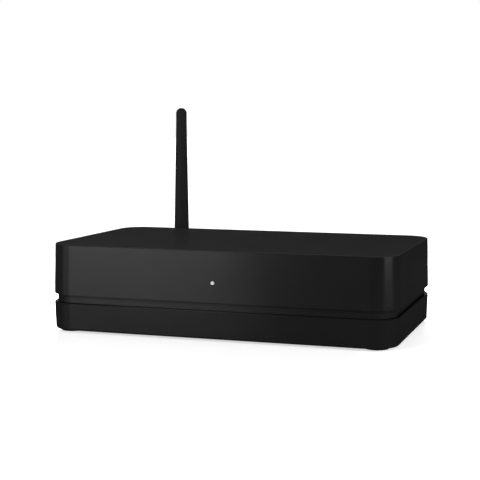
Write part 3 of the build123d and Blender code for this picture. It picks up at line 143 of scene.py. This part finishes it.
# Plastics of the small parts: colour, roughness, size and depth of the grain, and the body's own shine
SMALL_PLASTICS = {
    "socket_plastic": ((0.014, 0.014, 0.014), 0.5, 0.2 * MM, 0.004 * MM, 0.0),
    "shutter_plastic": ((0.02, 0.02, 0.02), 0.4, 0.2 * MM, 0.003 * MM, 0.0),
    "white_plastic": ((0.72, 0.72, 0.70), 0.34, 0.2 * MM, 0.002 * MM, 0.5),
    "red_plastic": ((0.45, 0.02, 0.015), 0.34, 0.2 * MM, 0.002 * MM, 0.5),
    "button_plastic": ((0.05, 0.05, 0.05), 0.42, 0.2 * MM, 0.004 * MM, 0.0),
    "lead_jacket": ((0.03, 0.03, 0.03), 0.3, 0.2 * MM, 0.002 * MM, 0.0),
    "chip_plastic": ((0.02, 0.02, 0.022), 0.6, 0.12 * MM, 0.004 * MM, 0.0),
    "ferrite": ((0.045, 0.045, 0.05), 0.68, 0.4 * MM, 0.02 * MM, 0.0),
}

# Metals: colour and roughness
METALS = {
    "gold_plate": ((0.72, 0.52, 0.24), 0.24),
    "nickel_plate": ((0.62, 0.61, 0.58), 0.22),
    "screw_steel": ((0.50, 0.50, 0.50), 0.3),
    "black_steel": ((0.05, 0.05, 0.052), 0.38),
    "capacitor_can": ((0.62, 0.62, 0.63), 0.34),
}

# Circuit board's solder mask, and the light source below the light pipe
MASK_GREEN = (0.012, 0.10, 0.045)
LED_CREAM = (0.7, 0.7, 0.64)


class Signal:
    """A node's output that can be used in arithmetic: each operator adds the Math node it stands for."""

    def __init__(self, graph, socket):
        self.graph = graph
        self.socket = socket

    def __add__(self, other):
        return self.graph.math("ADD", self, other)

    def __radd__(self, other):
        return self.graph.math("ADD", other, self)

    def __sub__(self, other):
        return self.graph.math("SUBTRACT", self, other)

    def __rsub__(self, other):
        return self.graph.math("SUBTRACT", other, self)

    def __mul__(self, other):
        return self.graph.math("MULTIPLY", self, other)

    def __rmul__(self, other):
        return self.graph.math("MULTIPLY", other, self)

    def __truediv__(self, other):
        return self.graph.math("DIVIDE", self, other)

    def __pow__(self, other):
        return self.graph.math("POWER", self, other)

    def __gt__(self, other):
        return self.graph.math("GREATER_THAN", self, other)

    def larger(self, other):
        """The larger of the two values."""
        return self.graph.math("MAXIMUM", self, other)

    def root(self):
        """The square root."""
        return self.graph.math("SQRT", self)

    def swing(self, amount):
        """A pattern from 0 to 1 as a change of up to half the amount, down and up."""
        return (self - 0.5) * amount

    def output(self, name):
        """Another output of the same node."""
        return Signal(self.graph, self.socket.node.outputs[name])


class Graph:
    """A node tree under construction, with one method that adds any node."""

    def __init__(self, tree):
        self.tree = tree

    def node(self, kind, settings=None, inputs=None, output=0):
        """Adds a node, its settings first, then its sockets' values or links, and gives back one output."""
        made = self.tree.nodes.new(kind)
        for name, value in (settings or {}).items():
            if name == "stops":
                self.set_stops(made.color_ramp, value)
            else:
                setattr(made, name, value)
        for name, value in (inputs or {}).items():
            self.feed(made.inputs[name], value)
        return Signal(self, made.outputs[output]) if made.outputs else None

    def feed(self, socket, value):
        """Links a signal to a socket, or sets the socket's own value."""
        if isinstance(value, Signal):
            self.tree.links.new(value.socket, socket)
        else:
            socket.default_value = value

    def set_stops(self, ramp, stops):
        """Gives a ramp its stops, each a place and a grey level."""
        while len(ramp.elements) < len(stops):
            ramp.elements.new(1.0)
        for element, (place, level) in zip(ramp.elements, stops):
            element.position = place
            element.color = (level, level, level, 1.0)

    def math(self, operation, *values):
        """One Math node on values or signals."""
        return self.node("ShaderNodeMath", {"operation": operation}, dict(enumerate(values)))


class Finish(Graph):
    """A material under construction. Its patterns read Object coordinates, in metres."""

    def __init__(self, name):
        self.material = bpy.data.materials.new(name)
        self.material.use_nodes = True
        super().__init__(self.material.node_tree)
        self.tree.nodes.clear()
        self.place = self.node("ShaderNodeTexCoord", output="Object")

    def coordinate(self, axis):
        """One of the Object coordinates, by its letter."""
        return self.node("ShaderNodeSeparateXYZ", {}, {0: self.place}, output=axis)

    def stretched(self, scale):
        """Object coordinates stretched along the axes."""
        return self.node("ShaderNodeMapping", {}, {"Vector": self.place, "Scale": scale})

    def noise(self, size, detail=2.0, vector=None):
        """Soft random blotches of about the given size in metres."""
        inputs = {"Vector": vector or self.place, "Scale": 1.0 / size, "Detail": detail}
        return self.node("ShaderNodeTexNoise", {}, inputs)

    def cells(self, size, feature="F1", distance="EUCLIDEAN"):
        """Distance pattern of random cells of about the given size in metres."""
        settings = {"feature": feature, "distance": distance}
        return self.node("ShaderNodeTexVoronoi", settings, {"Vector": self.place, "Scale": 1.0 / size})

    def ramp(self, value, stops):
        """A value sent through a ramp of grey stops."""
        return self.node("ShaderNodeValToRGB", {"stops": stops}, {"Fac": value})

    def between(self, factor, first, second):
        """A colour mixed between two others."""
        inputs = {0: factor, 6: first, 7: second}
        return self.node("ShaderNodeMix", {"data_type": "RGBA"}, inputs, output=2)

    def varied(self, pattern, color, low, high):
        """A colour from one share of itself, where the pattern is 0, to another, where it is 1."""
        return self.between(pattern, tinted(color, low), tinted(color, high))

    def bump(self, height, depth):
        """Surface relief of the given depth in metres."""
        return self.node("ShaderNodeBump", {}, {"Height": height, "Distance": depth}, output="Normal")

    def surface(self, inputs):
        """Ends the material in its shader, and gives the material back."""
        shader = self.node("ShaderNodeBsdfPrincipled", {}, inputs)
        self.node("ShaderNodeOutputMaterial", {}, {"Surface": shader})
        return self.material


class Form(Graph):
    """A geometry node tree with named inputs, whose result is kept as a plain mesh."""

    def __init__(self, name, sizes):
        self.name = name
        self.sizes = sizes
        super().__init__(bpy.data.node_groups.new(name, "GeometryNodeTree"))
        interface = self.tree.interface
        interface.new_socket("Geometry", in_out="OUTPUT", socket_type="NodeSocketGeometry")
        for label, value in sizes.items():
            kind = "NodeSocketInt" if isinstance(value, int) else "NodeSocketFloat"
            interface.new_socket(label, in_out="INPUT", socket_type=kind)
        self.entry = self.node("NodeGroupInput")

    def size(self, label):
        """A named input of the tree."""
        return self.entry.output(label)

    def vector(self, x, y, z):
        """A place or a step from three values."""
        return self.node("ShaderNodeCombineXYZ", {}, {0: x, 1: y, 2: z})

    def made(self, geometry, material):
        """Ends the tree, runs it once, and gives back an object that holds the plain mesh."""
        whole = self.node("GeometryNodeRealizeInstances", {}, {"Geometry": geometry})
        painted = self.node("GeometryNodeSetMaterial", {}, {"Geometry": whole, "Material": material})
        self.node("NodeGroupOutput", {}, {"Geometry": painted})
        piece = bpy.data.objects.new(self.name, bpy.data.meshes.new(self.name + "_start"))
        bpy.context.scene.collection.objects.link(piece)
        modifier = piece.modifiers.new("Form", "NODES")
        modifier.node_group = self.tree
        for item in self.tree.interface.items_tree:
            if item.in_out == "INPUT":
                modifier[item.identifier] = self.sizes[item.name]
        evaluated = piece.evaluated_get(bpy.context.evaluated_depsgraph_get())
        mesh = bpy.data.meshes.new_from_object(evaluated)
        if not mesh.polygons:
            raise RuntimeError(f"{self.name} came out empty")
        # A tree's own cube brings an empty material slot along
        if mesh.materials[0] is None:
            mesh.materials.pop(index=0)
        piece.modifiers.remove(modifier)
        piece.data = mesh
        mesh.name = self.name
        return piece


def tinted(color, amount):
    """A colour made lighter or darker by a share, with full alpha."""
    return tuple(channel * amount for channel in color) + (1.0,)


def moulded_plastic(name, color, roughness, grain, depth, shine=0.0, skin=SKIN, gloss=SKIN_ROUGHNESS,
                    cloud_size=26 * MM, rim_shade=False, dull_crown_painted_light=False):
    """Moulded plastic: a fine spark-eroded grain, faint flow clouds, and a thin satin skin over a dull body.

    Where asked, the skin is thinned just below the cover's rim as painted shade from the rim, and the cover's
    top face gets less skin and a lighter body, the lighter body being painted light.
    """
    finish = Finish(name)
    cloud = finish.noise(cloud_size, 3.0)
    spark = finish.noise(grain) * 0.65 + finish.cells(1.6 * grain) * 0.35
    body = finish.varied(cloud, color, 0.86, 1.14)
    weight = skin * (1.0 + cloud.swing(0.2))
    if rim_shade:
        # Painted shade: less skin just below the cover's rim, where the rim shades the tray's neck
        below_rim = RIM_Z - finish.coordinate("Z")
        weight = weight * finish.ramp(below_rim / RIM_SHADE_DEPTH, RIM_SHADE_LEVELS)
    if dull_crown_painted_light:
        below_top = CROWN_Z - finish.coordinate("Z")
        top_face = finish.ramp(below_top / CROWN_DEPTH, CROWN_LEVELS)
        # Painted light: the top face's body several times lighter than the walls' body
        painted_paler = finish.varied(cloud, color, 0.93 * CROWN_PAINTED_LIGHT, 1.07 * CROWN_PAINTED_LIGHT)
        body = finish.between(top_face, body, painted_paler)
        weight = weight * (1.0 - top_face * (1.0 - CROWN_SKIN))
    return finish.surface({
        "Base Color": body,
        "Roughness": roughness + cloud.swing(0.08) + spark.swing(0.06),
        "Specular IOR Level": shine,
        "Coat Weight": weight,
        "Coat Roughness": gloss,
        "Coat IOR": SKIN_IOR,
        "Normal": finish.bump(spark, depth),
    })


def soft_rubber(name, color, dust_size=3 * MM, grain=0.35 * MM, depth=0.02 * MM):
    """Rubber: dull, with a mottled skin that gathers dust."""
    finish = Finish(name)
    dust = finish.noise(dust_size, 4.0)
    skin = finish.noise(grain)
    return finish.surface({
        "Base Color": finish.varied(dust, color, 0.8, 1.5),
        "Roughness": 0.78 + dust.swing(0.14),
        "Specular IOR Level": 0.03,
        "Normal": finish.bump(skin, depth),
    })


def plated_metal(name, patch_size=4 * MM, mark_size=0.12 * MM, mark_depth=0.003 * MM):
    """One of the metals: fine turning marks and a slightly darker tarnish in patches."""
    color, roughness = METALS[name]
    finish = Finish(name)
    tarnish = finish.noise(patch_size, 3.0)
    marks = finish.noise(mark_size, vector=finish.stretched((1.0, 6.0, 1.0)))
    return finish.surface({
        "Base Color": finish.varied(tarnish, color, 0.85, 1.0),
        "Metallic": 1.0,
        "Roughness": roughness + marks.swing(0.12) + tarnish.swing(0.06),
        "Normal": finish.bump(marks, mark_depth),
    })


def solder_mask(name, color, pitch=3.2 * MM, weave_size=0.5 * MM, depth=0.03 * MM):
    """Circuit board: solder mask over copper tracks that stand a little proud and pale."""
    finish = Finish(name)
    edge = finish.cells(pitch, "DISTANCE_TO_EDGE", "MANHATTAN")
    track = finish.ramp(edge, [(0.0, 1.0), (0.10, 1.0), (0.14, 0.0)])
    weave = finish.noise(weave_size)
    return finish.surface({
        "Base Color": finish.varied(track, color, 0.75, 1.5),
        "Roughness": 0.34 + weave.swing(0.1),
        "Normal": finish.bump(track + weave * 0.2, depth),
    })


def frosted_end(name, color, glow, frost_size=0.15 * MM, depth=0.01 * MM):
    """Clear plastic with a frosted end that scatters light, and glows faintly."""
    finish = Finish(name)
    frost = finish.noise(frost_size, 3.0)
    return finish.surface({
        "Base Color": finish.varied(frost, color, 0.92, 1.0),
        "Roughness": 0.38 + frost.swing(0.2),
        "Emission Color": finish.varied(frost, color, 0.9, 1.0),
        "Emission Strength": glow,
        "Normal": finish.bump(frost, depth),
    })


def floor_paper(name, color, speck_size=2 * MM):
    """Pale paper that keeps the hub's shadow, and shows white where nothing shades it."""
    finish = Finish(name)
    reach = finish.node("ShaderNodeVectorMath", {"operation": "LENGTH"}, {0: finish.place}, output="Value")
    glow = finish.ramp(reach, FLOOR_GLOW)
    speck = finish.noise(speck_size)
    return finish.surface({
        "Base Color": finish.varied(speck, color, 0.99, 1.0),
        "Roughness": finish.ramp(finish.coordinate("X"), FLOOR_ROUGHNESS),
        "Specular IOR Level": FLOOR_SPECULAR,
        "Emission Color": finish.between(background_rays(finish), (0.0, 0.0, 0.0, 1.0), glow),
        "Emission Strength": 1.0,
    })


def background_rays(graph):
    """1 for rays from the camera, from gloss and through clear parts, which see the white background."""
    rays = graph.node("ShaderNodeLightPath", output="Is Camera Ray")
    return rays.larger(rays.output("Is Glossy Ray")).larger(rays.output("Is Transmission Ray"))


def small_plastic(name):
    """One of the small parts' plastics."""
    return moulded_plastic(name, *SMALL_PLASTICS[name])


def dress(material, *names):
    """Gives CAD nodes their finish. Their shape and place stay."""
    for name in names:
        if name not in frame["nodes"]:
            raise RuntimeError(f"the frame has no node {name}")
        for slot in frame["nodes"][name].material_slots:
            slot.material = material


class HubFinishSettings(bpy.types.PropertyGroup):
    """Colours and grain of the hub's plastics"""

    case_color: bpy.props.FloatVectorProperty(
        name="Case colour", description="Base colour of the moulded case", subtype="COLOR", size=3,
        min=0.0, max=1.0, default=(0.0042, 0.0042, 0.00437))
    case_roughness: bpy.props.FloatProperty(
        name="Case roughness", description="Roughness of the body below the satin skin", min=0.0, max=1.0,
        default=0.85)
    antenna_color: bpy.props.FloatVectorProperty(
        name="Antenna colour", description="Base colour of the antenna's plastic", subtype="COLOR", size=3,
        min=0.0, max=1.0, default=(0.006, 0.006, 0.006))
    foot_color: bpy.props.FloatVectorProperty(
        name="Foot colour", description="Base colour of the rubber feet", subtype="COLOR", size=3,
        min=0.0, max=1.0, default=(0.003, 0.003, 0.003))
    light_color: bpy.props.FloatVectorProperty(
        name="Light colour", description="Colour of the front light's frosted end", subtype="COLOR", size=3,
        min=0.0, max=1.0, default=(0.485, 0.485, 0.485))
    light_glow: bpy.props.FloatProperty(
        name="Light glow", description="Faint glow of the front light", min=0.0, default=0.04)
    grain_size: bpy.props.FloatProperty(
        name="Grain size", description="Size of the mould's spark grain", unit="LENGTH", default=0.28 * MM)
    grain_depth: bpy.props.FloatProperty(
        name="Grain depth", description="Depth of the mould's spark grain", unit="LENGTH", default=0.006 * MM)


class HubAntennaSettings(bpy.types.PropertyGroup):
    """Sizes of the antenna rod"""

    tip_radius: bpy.props.FloatProperty(
        name="Tip radius", description="Radius just below the dome", unit="LENGTH", default=3.15 * MM)
    shoulder_radius: bpy.props.FloatProperty(
        name="Shoulder radius", description="Radius where the nearly parallel tip ends", unit="LENGTH",
        default=3.17 * MM)
    shoulder_below_tip: bpy.props.FloatProperty(
        name="Shoulder below tip", description="Length of the nearly parallel tip", unit="LENGTH",
        default=8.9 * MM)
    dome_round: bpy.props.FloatProperty(
        name="Dome round", description="Radius of the round on the tip", unit="LENGTH", default=3.1 * MM)
    facets: bpy.props.IntProperty(name="Facets", description="Faces round the rod", min=12, default=96)
    rings: bpy.props.IntProperty(name="Rings", description="Rings along the rod", min=12, default=120)


class HubContactSettings(bpy.types.PropertyGroup):
    """Contacts on the service socket's tongue"""

    count: bpy.props.IntProperty(name="Count", description="Number of contacts", min=1, default=5)
    width: bpy.props.FloatProperty(
        name="Width", description="Width of one contact", unit="LENGTH", default=0.4 * MM)
    pitch: bpy.props.FloatProperty(
        name="Pitch", description="Distance between contacts", unit="LENGTH", default=0.8 * MM)
    length: bpy.props.FloatProperty(
        name="Length", description="Length of one contact", unit="LENGTH", default=3.2 * MM)
    height: bpy.props.FloatProperty(
        name="Height", description="Thickness of a contact, half of it sunk in the tongue", unit="LENGTH",
        default=0.12 * MM)


class HubStageSettings(bpy.types.PropertyGroup):
    """Floor and lamps"""

    floor_color: bpy.props.FloatVectorProperty(
        name="Floor colour", description="Colour of the floor", subtype="COLOR", size=3,
        min=0.0, max=1.0, default=(0.86, 0.86, 0.86))
    key_power: bpy.props.FloatProperty(
        name="Key power", description="Power of the lamp at the front left, in watts", min=0.0, default=3.2)
    top_power: bpy.props.FloatProperty(
        name="Top power", description="Power of the high lamp in front, in watts", min=0.0, default=0.42)
    side_power: bpy.props.FloatProperty(
        name="Side power", description="Power of the lamp at the right, in watts", min=0.0, default=1.09)
    left_power: bpy.props.FloatProperty(
        name="Left power", description="Power of the lamp at the left, in watts", min=0.0, default=1.8)
    rear_power: bpy.props.FloatProperty(
        name="Rear power", description="Power of the low lamp behind the hub, in watts", min=0.0, default=0.6)
    sky: bpy.props.FloatProperty(
        name="Sky", description="Strength of the even light from all round", min=0.0, default=0.15)


class HUB_OT_case(bpy.types.Operator):
    """Finish the cover, the tray, the rear panel and the feet"""

    bl_idname = "hub.case"
    bl_label = "Case"

    def execute(self, context):
        look = context.scene.hub_finish
        color, roughness = tuple(look.case_color), look.case_roughness
        grain, depth = look.grain_size, look.grain_depth
        # The cover's top face gets a duller skin and a body painted lighter as painted light
        cover = moulded_plastic("case_plastic", color, roughness, grain, depth, dull_crown_painted_light=True)
        # The tray gets painted shade just below the cover's rim
        tray = moulded_plastic("tray_plastic", color, roughness, grain, depth, skin=TRAY_SKIN, rim_shade=True)
        panel = moulded_plastic("panel_plastic", color, roughness + PANEL_EXTRA_ROUGHNESS, grain, depth)
        dress(cover, "top_cover")
        dress(tray, "base_tray")
        dress(panel, "rear_panel")
        dress(soft_rubber("foot_rubber", tuple(look.foot_color)), "rubber_feet")
        return {"FINISHED"}


class HUB_OT_front_light(bpy.types.Operator):
    """Finish the light pipe and the light source below it"""

    bl_idname = "hub.front_light"
    bl_label = "Front light"

    def execute(self, context):
        look = context.scene.hub_finish
        dress(frosted_end("clear_plastic", tuple(look.light_color), look.light_glow), "light_pipe")
        dress(frosted_end("led_body", LED_CREAM, 0.0), "status_led")
        return {"FINISHED"}


class HUB_OT_antenna(bpy.types.Operator):
    """Make the turned rod and finish the antenna's other pieces"""

    bl_idname = "hub.antenna"
    bl_label = "Antenna"

    def execute(self, context):
        look = context.scene.hub_finish
        plastic = moulded_plastic("antenna_plastic", tuple(look.antenna_color), look.case_roughness,
                                  look.grain_size, 0.5 * look.grain_depth, skin=ANTENNA_SKIN,
                                  gloss=ANTENNA_SKIN_ROUGHNESS)
        rod = self.turn_rod(context.scene.hub_antenna, plastic)
        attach(rod, "antenna_rod")
        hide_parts("antenna_whip")
        dress(plastic, "antenna_coupling_nut", "antenna_swivel_barrel", "antenna_knuckle")
        dress(plated_metal("gold_plate"), "antenna_socket", "antenna_radiator", "antenna_lead_plug")
        dress(small_plastic("lead_jacket"), "antenna_lead")
        return {"FINISHED"}

    def turn_rod(self, sizes, plastic):
        """The rod as a turned shape: a long taper, a nearly parallel tip and a dome."""
        form = Form("antenna_rod_shell", {
            "Centre X": ROD_CENTRE.x, "Centre Y": ROD_CENTRE.y, "Foot Z": ROD_LOW.z, "Tip Z": ROD_HIGH.z,
            "Foot Radius": ROD_FOOT_RADIUS, "Shoulder Radius": sizes.shoulder_radius,
            "Tip Radius": sizes.tip_radius, "Shoulder Below Tip": sizes.shoulder_below_tip,
            "Dome Round": sizes.dome_round, "Facets": sizes.facets, "Rings": sizes.rings,
        })
        foot_z, tip_z = form.size("Foot Z"), form.size("Tip Z")
        foot_radius, tip_radius = form.size("Foot Radius"), form.size("Tip Radius")
        shoulder_radius, dome = form.size("Shoulder Radius"), form.size("Dome Round")
        shoulder_z = tip_z - form.size("Shoulder Below Tip")
        dome_z = tip_z - dome
        # The rings crowd towards the tip, where the dome needs them
        along = form.node("GeometryNodeInputIndex") / (form.size("Rings") - 1.0)
        height = foot_z + (tip_z - foot_z) * (1.0 - (1.0 - along) ** 3.0)
        climbed = (height - foot_z) / (shoulder_z - foot_z)
        taper = foot_radius + (shoulder_radius - foot_radius) * climbed
        past = (height - shoulder_z) / (dome_z - shoulder_z)
        neck = shoulder_radius + (tip_radius - shoulder_radius) * past
        rise = (height - dome_z).larger(0.0)
        cap = tip_radius - dome + (dome * dome - rise * rise).larger(0.0).root()
        past_shoulder, past_dome = height > shoulder_z, height > dome_z
        side = taper * (1.0 - past_shoulder) + neck * past_shoulder
        radius = side * (1.0 - past_dome) + cap * past_dome
        place = form.vector(form.size("Centre X"), form.size("Centre Y"), height)
        line = form.node("GeometryNodeMeshLine", {}, {"Count": form.size("Rings")})
        axis = form.node("GeometryNodeSetPosition", {}, {"Geometry": line, "Position": place})
        axis = form.node("GeometryNodeStoreNamedAttribute", {"data_type": "FLOAT", "domain": "POINT"},
                         {"Geometry": axis, "Name": "rod_radius", "Value": radius})
        curve = form.node("GeometryNodeMeshToCurve", {}, {"Mesh": axis})
        ring = form.node("GeometryNodeCurvePrimitiveCircle", {},
                         {"Resolution": form.size("Facets"), "Radius": 1.0})
        stored = form.node("GeometryNodeInputNamedAttribute", {"data_type": "FLOAT"}, {"Name": "rod_radius"})
        shell = form.node("GeometryNodeCurveToMesh", {},
                          {"Curve": curve, "Profile Curve": ring, "Scale": stored, "Fill Caps": True})
        shell = form.node("GeometryNodeSetShadeSmooth", {}, {"Geometry": shell, "Shade Smooth": True})
        return form.made(shell, plastic)


class HUB_OT_sockets(bpy.types.Operator):
    """Finish the sockets in the rear panel and lay the contacts on the service socket's tongue"""

    bl_idname = "hub.sockets"
    bl_label = "Sockets"

    def execute(self, context):
        dress(small_plastic("socket_plastic"), "power_inlet_body", "usb_socket_tongue", "optical_receiver",
              "line_jack_housing", "aux_jack_body")
        dress(plated_metal("nickel_plate"), "power_inlet_pin", "usb_socket_shell", "line_jack_sleeves",
              "aux_jack_nut", "antenna_socket_washer", "antenna_socket_nut")
        dress(small_plastic("shutter_plastic"), "optical_shutter")
        dress(small_plastic("white_plastic"), "line_jack_insert_left")
        dress(small_plastic("red_plastic"), "line_jack_insert_right")
        contacts = self.lay_contacts(context.scene.hub_contacts)
        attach(contacts, "housing")
        return {"FINISHED"}

    def lay_contacts(self, sizes):
        """A row of flat strips on the tongue's upper face."""
        form = Form("service_contacts", {
            "Count": sizes.count, "Width": sizes.width, "Pitch": sizes.pitch, "Length": sizes.length,
            "Height": sizes.height, "Centre X": (TONGUE_LOW.x + TONGUE_HIGH.x) / 2,
            "Rear Y": TONGUE_HIGH.y, "Tongue Z": (TONGUE_LOW.z + TONGUE_HIGH.z) / 2 + TONGUE_HALF_HEIGHT,
        })
        pitch = form.size("Pitch")
        first_x = form.size("Centre X") - pitch * (form.size("Count") - 1.0) * 0.5
        middle_y = form.size("Rear Y") - form.size("Length") * 0.5 - CONTACT_SETBACK
        places = form.node("GeometryNodeMeshLine", {"mode": "OFFSET"}, {
            "Count": form.size("Count"), "Offset": form.vector(pitch, 0.0, 0.0),
            "Start Location": form.vector(first_x, middle_y, form.size("Tongue Z"))})
        strip_size = form.vector(form.size("Width"), form.size("Length"), form.size("Height"))
        strip = form.node("GeometryNodeMeshCube", {}, {"Size": strip_size, "Vertices Y": 6})
        row = form.node("GeometryNodeInstanceOnPoints", {}, {"Points": places, "Instance": strip})
        return form.made(row, plated_metal("gold_plate"))


class HUB_OT_controls(bpy.types.Operator):
    """Finish the slide switch and the push button"""

    bl_idname = "hub.controls"
    bl_label = "Controls"

    def execute(self, context):
        dress(plated_metal("nickel_plate"), "group_switch_body")
        dress(small_plastic("socket_plastic"), "group_switch_slider", "pair_button_switch")
        dress(small_plastic("button_plastic"), "pair_button_cap")
        return {"FINISHED"}


class HUB_OT_fasteners(bpy.types.Operator):
    """Finish the screws and the antenna's hinge pin"""

    bl_idname = "hub.fasteners"
    bl_label = "Fasteners"

    def execute(self, context):
        dress(plated_metal("screw_steel"), "case_screws", "board_screws")
        dress(plated_metal("black_steel"), "jack_screw", "antenna_hinge_pin")
        return {"FINISHED"}


class HUB_OT_electronics(bpy.types.Operator):
    """Finish the boards and the parts on them"""

    bl_idname = "hub.electronics"
    bl_label = "Electronics"

    def execute(self, context):
        dress(solder_mask("circuit_board", MASK_GREEN), "main_board", "radio_board")
        dress(small_plastic("chip_plastic"), "signal_processor", "audio_converters")
        dress(plated_metal("capacitor_can"), "filter_capacitors")
        dress(small_plastic("ferrite"), "power_inductor")
        dress(plated_metal("nickel_plate"), "radio_shield")
        return {"FINISHED"}


class HUB_OT_stage(bpy.types.Operator):
    """Lay the floor and set up the camera and the lamps"""

    bl_idname = "hub.stage"
    bl_label = "Stage"

    def execute(self, context):
        setup = context.scene.hub_stage
        self.lay_floor(context, setup)
        self.light_sky(context, setup)
        for name, (bearing, reach, height, size) in LAMPS.items():
            self.set_lamp(context, name, bearing, reach, height, size, getattr(setup, name + "_power"))
        self.place_camera(context)
        context.scene.view_settings.view_transform = "Standard"
        return {"FINISHED"}

    def lay_floor(self, context, setup):
        """A wide pale floor."""
        corners = [(x * FLOOR_HALF, y * FLOOR_HALF, 0) for x, y in ((-1, -1), (1, -1), (1, 1), (-1, 1))]
        mesh = bpy.data.meshes.new("floor")
        mesh.from_pydata(corners, [], [(0, 1, 2, 3)])
        mesh.materials.append(floor_paper("floor_paper", tuple(setup.floor_color)))
        floor = bpy.data.objects.new("floor", mesh)
        context.scene.collection.objects.link(floor)

    def light_sky(self, context, setup):
        """Even light from all round, which the camera, gloss and clear parts see as white."""
        world = bpy.data.worlds.new("sky")
        world.use_nodes = True
        context.scene.world = world
        sky = Graph(world.node_tree)
        sky.tree.nodes.clear()
        strength = setup.sky + (1.0 - setup.sky) * background_rays(sky)
        shader = sky.node("ShaderNodeBackground", {}, {"Color": (1.0, 1.0, 1.0, 1.0), "Strength": strength})
        sky.node("ShaderNodeOutputWorld", {}, {"Surface": shader})

    def set_lamp(self, context, name, bearing, reach, height, size, power):
        """A soft lamp that faces the hub and that the camera doesn't see."""
        data = bpy.data.lights.new(name + "_lamp", "AREA")
        data.shape = "RECTANGLE"
        data.size, data.size_y = size
        data.energy = power
        lamp = bpy.data.objects.new(name + "_lamp", data)
        context.scene.collection.objects.link(lamp)
        turn = math.radians(bearing)
        place = Vector((reach * math.sin(turn), -reach * math.cos(turn), height))
        facing = (AIM - place).to_track_quat("-Z", "Y").to_matrix().to_4x4()
        lamp.matrix_world = Matrix.Translation(place) @ facing
        lamp.visible_camera = False

    def place_camera(self, context):
        """The photograph's camera: its direction, its distance, and where the hub falls in the frame."""
        forward = Vector((-math.sin(CAMERA_YAW) * math.cos(CAMERA_PITCH),
                          math.cos(CAMERA_YAW) * math.cos(CAMERA_PITCH), -math.sin(CAMERA_PITCH)))
        level = Vector((math.cos(CAMERA_YAW), math.sin(CAMERA_YAW), 0.0))
        rise = level.cross(forward)
        right = level * math.cos(CAMERA_ROLL) + rise * math.sin(CAMERA_ROLL)
        up = rise * math.cos(CAMERA_ROLL) - level * math.sin(CAMERA_ROLL)
        aside = (AIM_PX[0] - FRAME_PX / 2) / FOCAL_PX * CAMERA_DISTANCE
        above = (FRAME_PX / 2 - AIM_PX[1]) / FOCAL_PX * CAMERA_DISTANCE
        data = bpy.data.cameras.new("camera")
        data.sensor_width = SENSOR_WIDTH
        data.lens = SENSOR_WIDTH * FOCAL_PX / FRAME_PX
        data.clip_start = CLIP_START
        camera = bpy.data.objects.new("camera", data)
        context.scene.collection.objects.link(camera)
        turn = Matrix((right, up, -forward)).transposed().to_4x4()
        place = AIM - (right * aside + up * above + forward * CAMERA_DISTANCE)
        camera.matrix_world = Matrix.Translation(place) @ turn
        context.scene.camera = camera


class HUB_PT_sidebar(bpy.types.Panel):
    """Lists the hub's settings and its steps"""

    bl_idname = "HUB_PT_sidebar"
    bl_label = "Audio hub"
    bl_space_type = "VIEW_3D"
    bl_region_type = "UI"
    bl_category = "Hub"

    def draw(self, context):
        for name, group in SETTINGS.items():
            box = self.layout.box()
            for setting in group.__annotations__:
                box.prop(getattr(context.scene, name), setting)
        for step in STEPS:
            self.layout.operator(step.bl_idname)


SETTINGS = {
    "hub_finish": HubFinishSettings,
    "hub_antenna": HubAntennaSettings,
    "hub_contacts": HubContactSettings,
    "hub_stage": HubStageSettings,
}
STEPS = (HUB_OT_case, HUB_OT_front_light, HUB_OT_antenna, HUB_OT_sockets, HUB_OT_controls, HUB_OT_fasteners,
         HUB_OT_electronics, HUB_OT_stage)


def register():
    """Registers the settings, the steps and the panel."""
    for name, group in SETTINGS.items():
        bpy.utils.register_class(group)
        setattr(bpy.types.Scene, name, bpy.props.PointerProperty(type=group))
    for step in STEPS:
        bpy.utils.register_class(step)
    bpy.utils.register_class(HUB_PT_sidebar)


def unregister():
    """Takes them all out again."""
    bpy.utils.unregister_class(HUB_PT_sidebar)
    for step in reversed(STEPS):
        bpy.utils.unregister_class(step)
    for name, group in SETTINGS.items():
        delattr(bpy.types.Scene, name)
        bpy.utils.unregister_class(group)


def main():
    """Runs every step in order."""
    register()
    bpy.ops.hub.case()
    bpy.ops.hub.front_light()
    bpy.ops.hub.antenna()
    bpy.ops.hub.sockets()
    bpy.ops.hub.controls()
    bpy.ops.hub.fasteners()
    bpy.ops.hub.electronics()
    bpy.ops.hub.stage()


if __name__ == "__main__":
    main()
